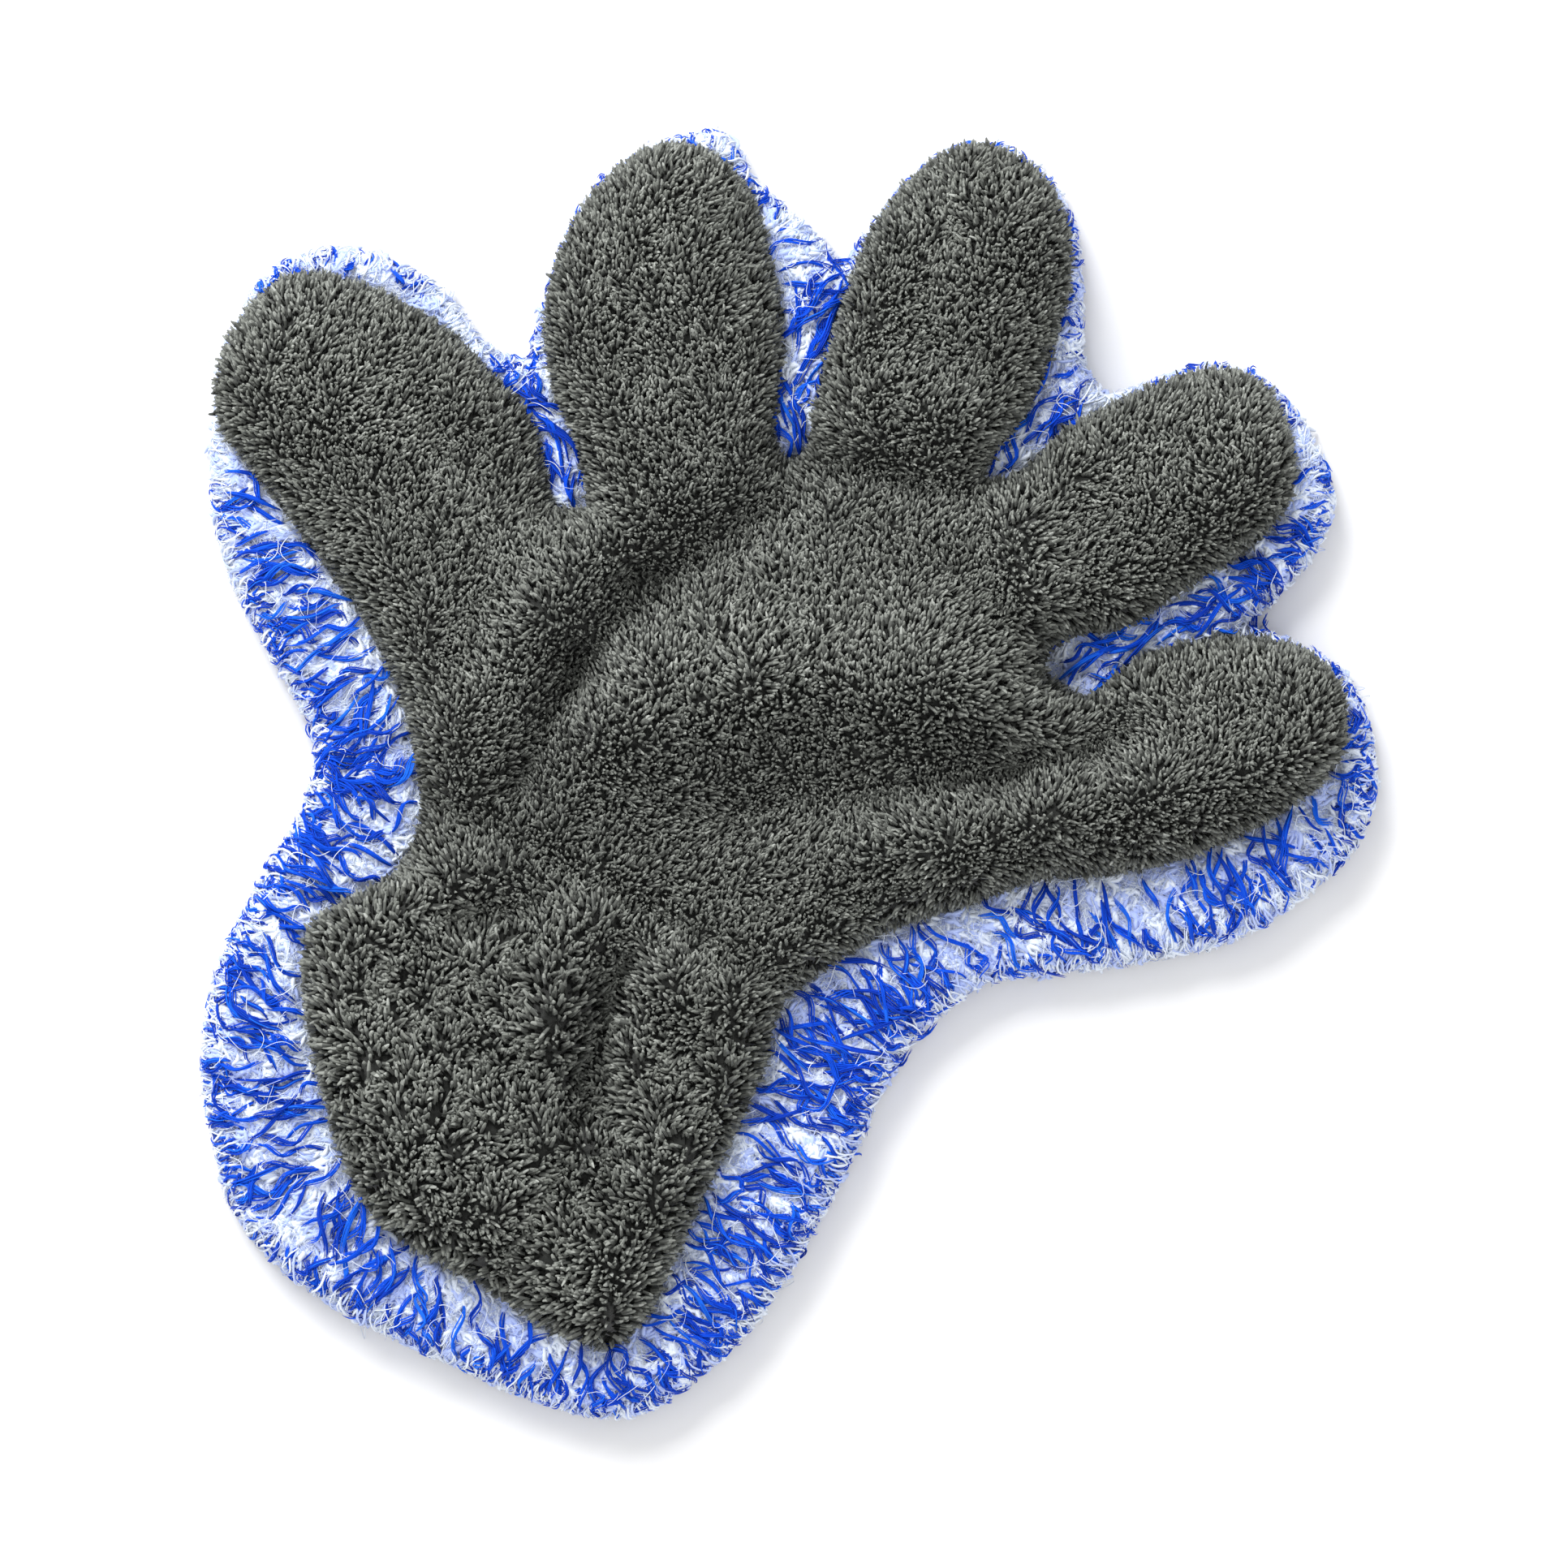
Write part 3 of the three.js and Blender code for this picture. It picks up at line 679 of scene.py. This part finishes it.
def plush_tufts():
    """Every tuft's root, direction, way of leaning, length and width."""
    flat = scatter(TUFT_SPACING, lambda p: sample(in_cloth, p) > 0.2)
    rim = scatter(TUFT_SPACING * 0.9, lambda p: np.abs(sample(in_cloth, p) - RIM_STRIP / 2) < RIM_STRIP / 2)
    hem = scatter(TUFT_SPACING * 0.8, lambda p: np.abs(sample(in_cloth, p) - HEM_MIDDLE) < HEM_HALF)
    p = np.concatenate([flat, rim, hem])
    # Tufts are bolder on swellings and on the cuff, and stand further apart there.
    towards_cuff = np.clip((-40 - p[:, 1]) / 20, 0, 1)
    swelling = np.clip(sample(folds, p) / 5, -1, 1)
    bold = 1.0 + 0.12 * swelling + 0.22 * towards_cuff + 0.08 * sample(tone_noise, p)
    kept = rng.random(len(p)) < 1 / np.clip(bold, 1, 2) ** 1.6
    p, bold = p[kept], bold[kept]
    inside = sample(in_cloth, p)
    normal = normal_at(plush_slope, p)
    turn = COMB + sample(comb_turn, p) + rng.normal(0, 0.5, len(p))
    comb = np.stack([np.cos(turn), np.sin(turn)], 1)
    outward = direction(out_plush, p)
    near = 0.75 * np.exp(-((inside / 4.0) ** 2))[:, None]
    flat_way = unit(comb * (1 - near) + outward * near)
    lean = np.clip(0.5 + sample(comb_lean, p) + rng.normal(0, 0.18, len(p)), 0.05, 1.0)
    way3 = np.concatenate([flat_way, np.zeros((len(p), 1))], 1)
    way3 = unit(way3 - normal * np.sum(way3 * normal, 1, keepdims=True))
    d = unit(normal * np.cos(lean)[:, None] + way3 * np.sin(lean)[:, None])
    hang = (inside < 2.0) * rng.uniform(0, 1.3, len(p))  # the rim's pile droops
    d = unit(d - np.array([0, 0, 1.0]) * hang[:, None])
    at_hem = (inside < HEM_MIDDLE + HEM_HALF)[:, None]  # the hem's pile hangs over the seam
    down = rng.uniform(-1.2, -0.5, (len(p), 1))
    sideways = outward * rng.uniform(0.4, 0.9, (len(p), 1))
    d = np.where(at_hem, unit(np.concatenate([sideways, down], 1)), d)
    length = rng.uniform(*TUFT_LENGTH, len(p)) * bold
    width = rng.uniform(*TUFT_HALF_WIDTH, len(p)) * bold
    below = np.where(at_hem, rng.uniform(0, 1.4, (len(p), 1)), 0)
    root = np.concatenate([p, sample(plush_top, p)[:, None] - 0.4 - below], 1)
    tip = p + (d * length[:, None])[:, :2]
    over = np.clip(0.4 - sample(in_plush, tip), 0, None)
    length = np.maximum(length - over * 1.2, 1.2)
    return root, d, way3, length, width


def tuft_paths(root, d, way, length):
    """Each tuft's line: straight out of the cloth, then drooping over towards its tip."""
    droop = rng.uniform(0.0, 0.34, len(root))
    twist = rng.normal(0, 0.55, (len(root), 3))
    return (
        root[:, None, :]
        + d[:, None, :] * (TUFT_STEPS[None, :, None] * length[:, None, None])
        + ((way + twist) * (droop * length)[:, None])[:, None, :] * (TUFT_STEPS**2)[None, :, None]
    )


def tuft_painted_and_random_shades(root):
    """How light each tuft is: its row in TUFT_SHADES. It comes from painted light and shade, with
    painted shade along the panel's rim, and from random steps.
    """
    tone = MIDDLE_SHADE + sample(painted_light_and_shade, root) + sample(tone_noise, root)
    # painted shade: the tufts along the cloth's edge are coloured darker
    tone -= 0.9 * np.exp(-((sample(in_cloth, root) / 2.5) ** 2))
    tone += rng.normal(0, 0.55, len(root))
    return np.clip(np.round(tone), 0, len(TUFT_SHADES) - 1).astype(int)


def build_plush():
    """The pile of the plush panel, as pieces with the zone that each belongs to."""
    root, d, way, length, width = plush_tufts()
    paths = tuft_paths(root, d, way, length)
    w = width[:, None] * TUFT_TAPER
    slots = TUFT_SHADES[tuft_painted_and_random_shades(root)]
    up = unit(d + rng.normal(0, 0.5, d.shape))[:, None, :]
    zone = zone_of(root)
    pieces = []
    for z, label in enumerate(ZONES):
        here = np.nonzero(zone == z)[0]
        parts = np.array_split(here, max(1, math.ceil(len(here) / TUFTS_PER_PIECE)))
        for k, part in enumerate(parts):
            number = "" if len(parts) == 1 else f"_{k + 1}"
            obj = strands(
                f"plush_pile_{label}{number}",
                paths[part],
                width=w[part],
                thick=w[part] * 0.85,
                up=np.broadcast_to(up[part], paths[part].shape),
                sides=3,
                ring_slots=slots[part],
                materials=GREYS,
            )
            pieces.append((obj, z))
    return pieces


def cells_of(mine, passes):
    """The marked grid cells whose four corners all pass."""
    inner = passes[:-1, :-1] & passes[1:, :-1] & passes[:-1, 1:] & passes[1:, 1:]
    cells = np.zeros(SIZE, bool)
    cells[:-1, :-1] = inner & mine[:-1, :-1]
    return cells


zone_grid = on_grid(zone_of(grid_points + GRID / 2))

for obj, z in build_plush():
    attach(obj, z)

PLUSH_SHELL = 1.6
FLOOR_SHELL = 1.2
FLOOR_DEPTH = 1.6  # the pocket's floor reaches at most this far below its flat part
SEALED = 6.0  # in this strip inside the plush edge the floor piece reaches down into the mat
plush_under = np.maximum(plush_top - PLUSH_SHELL, SEAM_Z + 0.2)
floor_under = np.maximum(floor_top - FLOOR_SHELL, POCKET_FLOOR - FLOOR_DEPTH)
floor_under = np.where(in_plush < SEALED, np.minimum(floor_under, mat_top - 1.0), floor_under)
for z, label in enumerate(ZONES):
    mine = zone_grid == z
    panel_cells = cells_of(mine, in_cloth > 0.1)
    panel = shell_mesh(f"plush_backing_{label}", plush_top, plush_under, panel_cells, PLUSH_BACK)
    attach(panel, z)
    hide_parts(f"{label}_plush")
    floor_cells = cells_of(mine, in_plush > 1.8)
    floor_piece = shell_mesh(f"shag_backing_{label}", floor_top, floor_under, floor_cells, WOOL)
    attach(floor_piece, z)
    mat = shell_mesh(f"shag_wool_{label}", mat_top, mat_bottom, cells_of(mine, in_shag > 0.4), WOOL)
    attach(mat, z)
    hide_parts(f"{label}_shag")

# ---- the shag strands

UPPER, LOWER = 1, -1  # the mat's two faces
MAT_CLEARANCE = 0.7  # lines on the mat stay this far above the ground
BUNDLE_CLEARANCE = 0.6
THICK_CLEARANCE = 0.9  # the locks and the strands that droop down the side
BUNDLE_STEPS = 10
BUNDLE_LENGTH = (6, 16)
BLUE_HALF_WIDTH = (0.16, 0.24)


def lying_lines(p, way, length, wave, bow, steps):
    """Wandering lines on the plane: they start at p and run the given way."""
    t = np.linspace(0, 1, steps)
    n = len(p)
    across = quarter_turned(way)
    phase = rng.uniform(0, 2 * math.pi, n)[:, None]
    turns = rng.uniform(0.5, 1.15, n)[:, None]
    bend = rng.normal(0, bow, n)[:, None]
    reach = rng.uniform(-2.0, 1.2, n)  # how far past the mat's edge a strand may end
    for _ in range(4):
        sideways = wave[:, None] * (np.sin(2 * math.pi * turns * t + phase) - np.sin(phase))
        sideways = sideways + bend * length[:, None] * t**2
        xy = p[:, None, :] + way[:, None, :] * (t * length[:, None])[..., None]
        xy = xy + across[:, None, :] * sideways[..., None]
        inside = sample(in_shag, xy.reshape(-1, 2)).reshape(n, steps)
        over = np.clip(-inside.min(1) - reach, 0, None)
        length = np.maximum(length - over * 1.1, 2.0)
    return xy


def laid_on_mat(xy, lift, face):
    """Gives plane lines their height on one of the mat's faces, arching away from it by lift."""
    n, steps, _ = xy.shape
    t = np.linspace(0, 1, steps)
    flat = xy.reshape(-1, 2)
    if face == UPPER:
        past_rim = np.minimum(sample(in_shag, flat) - 1.5, 0)
        z = sample(mat_over, flat) + past_rim * 0.6
        z = z.reshape(n, steps) + lift[:, None] * (np.sin(math.pi * t) + 0.2)
    else:
        z = sample(mat_bottom, flat).reshape(n, steps) - lift[:, None] * np.sin(math.pi * t)
    return np.concatenate([xy, np.maximum(z, MAT_CLEARANCE)[..., None]], 2)


# A smooth surface that clears the mat's lumps, for the strands to lie on.
mat_over = mat_top.copy()
for axis in (0, 1):
    mat_over = np.maximum(mat_over, np.maximum(np.roll(mat_over, 1, axis), np.roll(mat_over, -1, axis)))
mat_over = blur(mat_over, times=2)
pull = soft_noise(seed=31, scale=18, amount=0.4)
blue_clumps = soft_noise(seed=33, scale=9, amount=0.8) + spread_out(BLUER)


def outward_way(p, spread):
    """The way out of the glove at each point, with a local turn and a random one."""
    return turned(direction(out_shag, p), sample(pull, p) + rng.normal(0, spread, len(p)))


def in_halo(p):
    """Whether points are where the shag shows past the plush."""
    return (sample(in_plush, p) < 1.0) & (sample(in_shag, p) > 0.8)


def at_rim(p):
    """Whether points are in the outer 2 mm of the shag."""
    return np.abs(sample(in_shag, p) - 1) < 1


def on_underside(p):
    return sample(in_shag, p) > 2


def side_lines(p, steps):
    """Lines that run out over the mat's rim and droop down its side, swaying as they go."""
    n = len(p)
    t = np.linspace(0, 1, steps)
    turn = t * math.pi / 2
    out = direction(out_shag, p)
    along = quarter_turned(out)
    edge = p + out * sample(in_shag, p)[:, None]
    under_seam = np.clip((sample(in_plush, edge) + 5) / 5, 0, 1)
    back = rng.uniform(1.5, 7.0, n) * (1 - under_seam) + rng.uniform(1.2, 2.2, n) * under_seam
    top = sample(mat_over, edge - out * back[:, None]) + rng.uniform(0.1, 0.8, n)
    top = top * (1 - under_seam) + rng.uniform(10.5, 14.6, n) * under_seam
    drop = rng.uniform(0.35, 1.0, n) * (top - THICK_CLEARANCE)
    past = rng.uniform(-0.5, 0.8, n)
    reach = -back[:, None] + (back + past)[:, None] * np.sin(turn)
    sway = rng.normal(0, 1.8, n)[:, None] * t + 0.6 * np.sin(5 * t + rng.uniform(0, 6, n)[:, None])
    xy = edge[:, None, :] + along[:, None, :] * sway[..., None] + out[:, None, :] * reach[..., None]
    z = np.maximum(top[:, None] - drop[:, None] * (1 - np.cos(turn)), THICK_CLEARANCE)
    return np.concatenate([xy, z[..., None]], 2)


def fibre_taper(steps):
    """A white fibre's width along its length, as a share of its full width."""
    return np.interp(np.linspace(0, 1, steps), [0, 0.2, 0.8, 1], [0.6, 1, 0.9, 0.35])


def side_bundles(spacing, fibres):
    """Bundles of blue fibres that droop over the mat's rim."""
    p = scatter(spacing, at_rim)
    p = p[sample(blue_clumps, p) + rng.normal(0, 0.6, len(p)) > -0.2]
    return bundles_on(side_lines(p, BUNDLE_STEPS), fibres)


def side_fibres(spacing):
    """Loose white fibres that droop over the mat's rim."""
    p = scatter(spacing, at_rim)
    steps = 6
    paths = side_lines(p, steps)
    w = rng.uniform(0.12, 0.4, len(p))[:, None] * fibre_taper(steps)
    shade = rng.choice([0, 1], len(p), p=[0.6, 0.4])
    return paths, w, w * 0.8, np.repeat(shade[:, None], steps, 1)


def blue_bundles(spacing, keep, face, fibres):
    """Bundles of blue fibres that lie on the mat."""
    p = scatter(spacing, keep)
    p = p[sample(blue_clumps, p) + rng.normal(0, 0.6, len(p)) > -0.3]
    length = rng.uniform(*BUNDLE_LENGTH, len(p))
    way = outward_way(p, 0.26 if face == UPPER else 1.2)
    wave = rng.uniform(0.5, 1.9, len(p))
    xy = lying_lines(p, way, length, wave, bow=0.14, steps=BUNDLE_STEPS)
    lift = rng.uniform(*((0.6, 2.0) if face == UPPER else (0.2, 0.9)), len(p))
    return bundles_on(laid_on_mat(xy, lift, face), fibres)


def bundles_on(core, fibres):
    """Flat bundles of parallel fibres along core lines: their paths, half sizes and shades."""
    n, steps, _ = core.shape
    way = unit(core[:, -1, :2] - core[:, 0, :2])
    paths = np.repeat(core, fibres, 0)
    t = np.linspace(0, 1, steps)
    side = np.repeat(unit(quarter_turned(np.gradient(core[:, :, :2], axis=1))), fibres, 0)
    offset = np.tile(np.linspace(-1, 1, fibres), n) + rng.normal(0, 0.12, len(paths))
    half = np.repeat(rng.uniform(0.2, 0.55, n), fibres)
    fray = rng.normal(0, 0.3, len(paths))[:, None] * np.clip(t - 0.7, 0, 1) * 2
    spread = np.interp(t, [0, 0.15, 0.5, 0.8, 1], [0.3, 0.8, 1.0, 0.75, 0.45])
    across = offset[:, None] * half[:, None] * spread + fray
    paths[:, :, :2] += side * across[..., None]
    arch = 0.35 * (1 - offset**2) * half
    paths[:, :, 2] += rng.normal(0, 0.05, len(paths))[:, None] + arch[:, None]
    paths[:, :, 2] = np.maximum(paths[:, :, 2], BUNDLE_CLEARANCE)
    shift = rng.uniform(-1.5, 0.3, len(paths))
    paths[:, :, :2] += np.repeat(way, fibres, 0)[:, None, :] * shift[:, None, None]
    taper = np.interp(t, [0, 0.12, 0.3, 0.8, 1], [0.35, 0.8, 1, 0.9, 0.3])
    w = rng.uniform(*BLUE_HALF_WIDTH, len(paths))[:, None] * taper
    shade = np.repeat(rng.choice([0, 1, 2], n, p=[0.5, 0.38, 0.12]), fibres)
    odd = rng.random(len(paths)) < 0.2
    shade = np.where(odd, rng.integers(0, 3, len(paths)), shade)
    return paths, w, w * 0.8, np.repeat(shade[:, None], steps, 1)


def white_fibres(spacing, keep, face, length_range, width_range, curl, rise, steps):
    """Loose white fibres: thinner, shorter and curlier than the blue."""
    p = scatter(spacing, keep)
    way = outward_way(p, 1.1)
    length = rng.uniform(*length_range, len(p))
    wave = rng.uniform(0.3, 1.0, len(p)) * curl * length
    xy = lying_lines(p, way, length, wave, bow=0.35, steps=steps)
    paths = laid_on_mat(xy, rng.uniform(*rise, len(p)), face)
    w = rng.uniform(*width_range, len(p))[:, None] * fibre_taper(steps)
    shade = rng.choice([0, 1], len(p), p=[0.65, 0.35])
    return paths, w, w * 0.8, np.repeat(shade[:, None], steps, 1)


def white_locks(spacing, keep, fingers):
    """Soft woolly locks: a few thick short strands that fan out from one place."""
    p = np.repeat(scatter(spacing, keep), fingers, 0)
    n = len(p)
    steps = 6
    way = outward_way(p, 0.0)
    turn = np.repeat(rng.normal(0, 0.7, n // fingers), fingers) + rng.normal(0, 0.45, n)
    way = turned(way, turn)
    length = rng.uniform(2.8, 6.0, n)
    start = p + rng.normal(0, 0.5, p.shape)
    xy = lying_lines(start, way, length, 0.1 * length, bow=0.2, steps=steps)
    t = np.linspace(0, 1, steps)
    paths = laid_on_mat(xy, np.zeros(n), UPPER)
    rise = np.repeat(rng.uniform(0.2, 1.3, n // fingers), fingers) + rng.normal(0, 0.2, n)
    arched = paths[:, :, 2] + rise[:, None] * np.sin(math.pi * t * 0.85) - 0.9
    paths[:, :, 2] = np.maximum(arched, THICK_CLEARANCE)
    width = rng.uniform(0.4, 0.72, n)[:, None] * np.interp(t, [0, 0.3, 0.7, 1], [0.5, 1, 0.95, 0.4])
    shade = np.repeat(rng.choice([0, 1], n // fingers, p=[0.6, 0.4]), fingers)
    return paths, width, width * 0.85, np.repeat(shade[:, None], steps, 1)


def add_strands(kind, data, materials, sides=3):
    """Splits strands between the bodies and makes a piece of each share."""
    paths, w, thick, slots = data
    zone = zone_of(paths[:, 0, :2])
    for z, label in enumerate(ZONES):
        here = np.nonzero(zone == z)[0]
        if len(here) == 0:
            continue
        up = np.zeros((len(here), paths.shape[1], 3))
        up[..., 2] = 1.0
        name = f"{kind}_{label}"
        obj = strands(name, paths[here], w[here], thick[here], up, sides, slots[here], materials)
        attach(obj, z)


# The strands are made in this order, because they draw on one stream of random numbers.
add_strands("shag_blue", blue_bundles(spacing=3.35, keep=in_halo, face=UPPER, fibres=6), BLUES)
long_white = white_fibres(
    spacing=4.4, keep=in_halo, face=UPPER,
    length_range=(6, 12), width_range=(0.08, 0.13), curl=0.3, rise=(0.6, 2.0), steps=12,
)
add_strands("shag_white", long_white, WHITES)
fuzz = white_fibres(
    spacing=0.85, keep=in_halo, face=UPPER,
    length_range=(2.0, 4.5), width_range=(0.05, 0.09), curl=0.2, rise=(0, 0.5), steps=5,
)
add_strands("shag_fuzz", fuzz, WHITES)
add_strands("shag_locks", white_locks(spacing=2.3, keep=in_halo, fingers=5), WHITES, sides=4)
add_strands("shag_blue_side", side_bundles(spacing=1.6, fibres=5), BLUES)
add_strands("shag_white_side", side_fibres(spacing=1.05), WHITES)
add_strands("shag_blue_under", blue_bundles(spacing=3.5, keep=on_underside, face=LOWER, fibres=4), BLUES)
white_under = white_fibres(
    spacing=2.2, keep=on_underside, face=LOWER,
    length_range=(4, 10), width_range=(0.15, 0.4), curl=0.2, rise=(0.1, 1.2), steps=7,
)
add_strands("shag_white_under", white_under, WHITES)

# ---- the seam and the bands

# Half of the seam's cross-section, across and up; the other half mirrors it.
SEAM_HALF = [(-0.9, 0.0), (-0.7, 0.4), (0.0, 0.55), (0.7, 0.4)]
SEAM_SECTION = SEAM_HALF + [(-across, -up) for across, up in SEAM_HALF]
SEAM_INSET = 2.6  # how far inside the plush's pile the seam runs
SEAM_DROP = 0.2
STITCH = 1.2
STITCH_BULGE = 0.22
MOUTH_Y, MOUTH_X = -119, (-30, 34)  # the cuff's opening, which isn't sewn shut
# The faces that close an end, as places in the section.
SEAM_CAP = ((0, 1, 2, 3), (0, 3, 4, 7), (4, 5, 6, 7))


def runs_of(mine):
    """The stretches of a closed loop where mine is true, as lists of places."""
    start = int(np.nonzero(~mine)[0][0])
    runs, run = [], []
    for i in (np.arange(len(mine)) + start) % len(mine):
        if mine[i]:
            run.append(i)
        elif run:
            runs.append(run)
            run = []
    if run:
        runs.append(run)
    return runs


def seam_ribbon(label, z):
    """The overlocked edge that joins the panels: a low lip with a bulge at every other stitch."""
    loop = smooth_loop(PLUSH_EDGE, STITCH)
    out = direction(out_plush, loop)
    centre = loop - out * SEAM_INSET
    x, y = centre.T
    at_mouth = (y < MOUTH_Y) & (x > MOUTH_X[0]) & (x < MOUTH_X[1])
    points, quads = [], []
    for run in runs_of((zone_of(centre) == z) & ~at_mouth):
        if len(run) < 2:
            continue
        first = len(points)
        for k, i in enumerate(run):
            bulge = 1.0 + STITCH_BULGE * (k % 2)
            for across, up in SEAM_SECTION:
                x, y = centre[i] + out[i] * across * bulge
                points.append((x, y, SEAM_Z - SEAM_DROP + up * bulge))
        n = len(SEAM_SECTION)
        for k in range(len(run) - 1):
            for s in range(n):
                a = first + k * n + s
                b = first + k * n + (s + 1) % n
                quads.append((b, a, a + n, b + n))
        last = first + (len(run) - 1) * n
        quads += [tuple(first + s for s in face) for face in SEAM_CAP]
        quads += [tuple(last + s for s in face[::-1]) for face in SEAM_CAP]
    return make_mesh(f"side_seam_{label}", np.array(points), quads, [], [SEAM_CLOTH])


WRIST_ELASTIC_Y = (-46, -38)
CUFF_BINDING_Y = (-126, -118)
BAND_RIBS = 4
BAND_AROUND = 64  # the points round a band
BAND_INSET = 4.5  # from the plush's edge
BAND_THICK = 1.0
BAND_SQUARE = 0.6  # below 1, a band is squarer than an ellipse
BAND_UNDER_PLUSH, BAND_OVER_FLOOR = 2.2, 0.4
RIB_DEPTH = 0.25


def inner_band(name, y_range):
    """A woven band round the inside of the pocket: a flattened loop that follows both panels."""
    n = BAND_AROUND
    rows = np.linspace(*y_range, 2 * BAND_RIBS + 1)
    xs = np.linspace(-80, 80, 641)
    points, quads = [], []
    for k, y in enumerate(rows):
        span = xs[sample(in_plush, np.stack([xs, np.full_like(xs, y)], 1)) > BAND_INSET]
        centre, half = (span.min() + span.max()) / 2, (span.max() - span.min()) / 2
        for layer in (0.0, BAND_THICK):
            for a in 2 * math.pi * np.arange(n) / n:
                across = math.copysign(abs(math.cos(a)) ** BAND_SQUARE, math.cos(a))
                x = centre + (half - layer) * across
                here = np.array([[x, y]])
                top = float(sample(plush_top, here)[0]) - BAND_UNDER_PLUSH
                base = float(sample(floor_top, here)[0]) + BAND_OVER_FLOOR
                middle, rise = (top + base) / 2, max((top - base) / 2 - layer, 0.3)
                points.append((x, y, middle + (rise - RIB_DEPTH * (k % 2)) * math.sin(a)))
    for k in range(len(rows) - 1):
        for s in range(n):
            a, b = 2 * n * k + s, 2 * n * k + (s + 1) % n
            quads.append((a, b, b + 2 * n, a + 2 * n))
            quads.append((b + n, a + n, a + 3 * n, b + 3 * n))
    for row, flip in ((0, False), (len(rows) - 1, True)):
        for s in range(n):
            a, b = 2 * n * row + s, 2 * n * row + (s + 1) % n
            face = (b, a, a + n, b + n)
            quads.append(face[::-1] if flip else face)
    obj = make_mesh(name, np.array(points), quads, [], [TAPE])
    return obj


SEAM_CLOTH = cloth_material("seam_thread", (30, 31, 30), (72, 74, 71), 900, 0.8)
for z, label in enumerate(ZONES):
    seam = seam_ribbon(label, z)
    nodes = [n for n in frame["nodes"] if n.startswith(f"{label}_seam")]
    attach(seam, z)
    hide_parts(*nodes)
elastic = inner_band("wrist_elastic_band", WRIST_ELASTIC_Y)
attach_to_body(elastic, "hand")
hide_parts("wrist_elastic")
binding = inner_band("cuff_mouth_binding", CUFF_BINDING_Y)
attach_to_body(binding, "cuff")
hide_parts("cuff_binding")

# ---- camera, light and floor

# In metres.
FIELD = 0.3478  # the width that the picture shows, at FIELD_HEIGHT above the ground
FIELD_HEIGHT = 0.02
CAMERA_HEIGHT = 1.6
VIEW_CENTRE = (0.0162, -0.0005)
ROLL = math.radians(25)
SENSOR = 36  # mm
FLOOR_CORNERS = [(-3, -3, 0), (3, -3, 0), (3, 3, 0), (-3, 3, 0)]

floor_mesh = bpy.data.meshes.new("floor")
floor_mesh.from_pydata(FLOOR_CORNERS, [], [(0, 1, 2, 3)])
floor_obj = bpy.data.objects.new("floor", floor_mesh)
root_collection.objects.link(floor_obj)
floor_looks = {"Base Color": (0.95, 0.95, 0.95, 1), "Roughness": 0.9}
floor_mesh.materials.append(new_material("floor", floor_looks)[0])

camera_data = bpy.data.cameras.new("camera")
camera_data.sensor_width = SENSOR
camera_data.lens = SENSOR * (CAMERA_HEIGHT - FIELD_HEIGHT) / FIELD
camera_data.clip_end = 20
camera = bpy.data.objects.new("camera", camera_data)
camera.location = (*VIEW_CENTRE, CAMERA_HEIGHT)
camera.rotation_euler = (0, 0, ROLL)
root_collection.objects.link(camera)
bpy.context.scene.camera = camera

world = bpy.data.worlds.new("studio")
world.use_nodes = True
set_inputs(world.node_tree.nodes["Background"], {"Color": (1, 1, 1, 1), "Strength": 0.8})
bpy.context.scene.world = world


def softbox(name, position, size, power):
    """A square area light that looks at the glove."""
    data = bpy.data.lights.new(name, "AREA")
    data.size = size
    data.energy = power
    light = bpy.data.objects.new(name, data)
    light.location = position
    aim = -light.location.normalized()
    light.rotation_euler = aim.to_track_quat("-Z", "Y").to_euler()
    root_collection.objects.link(light)


softbox("key", position=(-0.9, 0.7, 1.0), size=0.8, power=25)
softbox("fill", position=(0.9, -0.5, 1.1), size=1.0, power=2.5)
bpy.context.scene.view_settings.view_transform = "Standard"
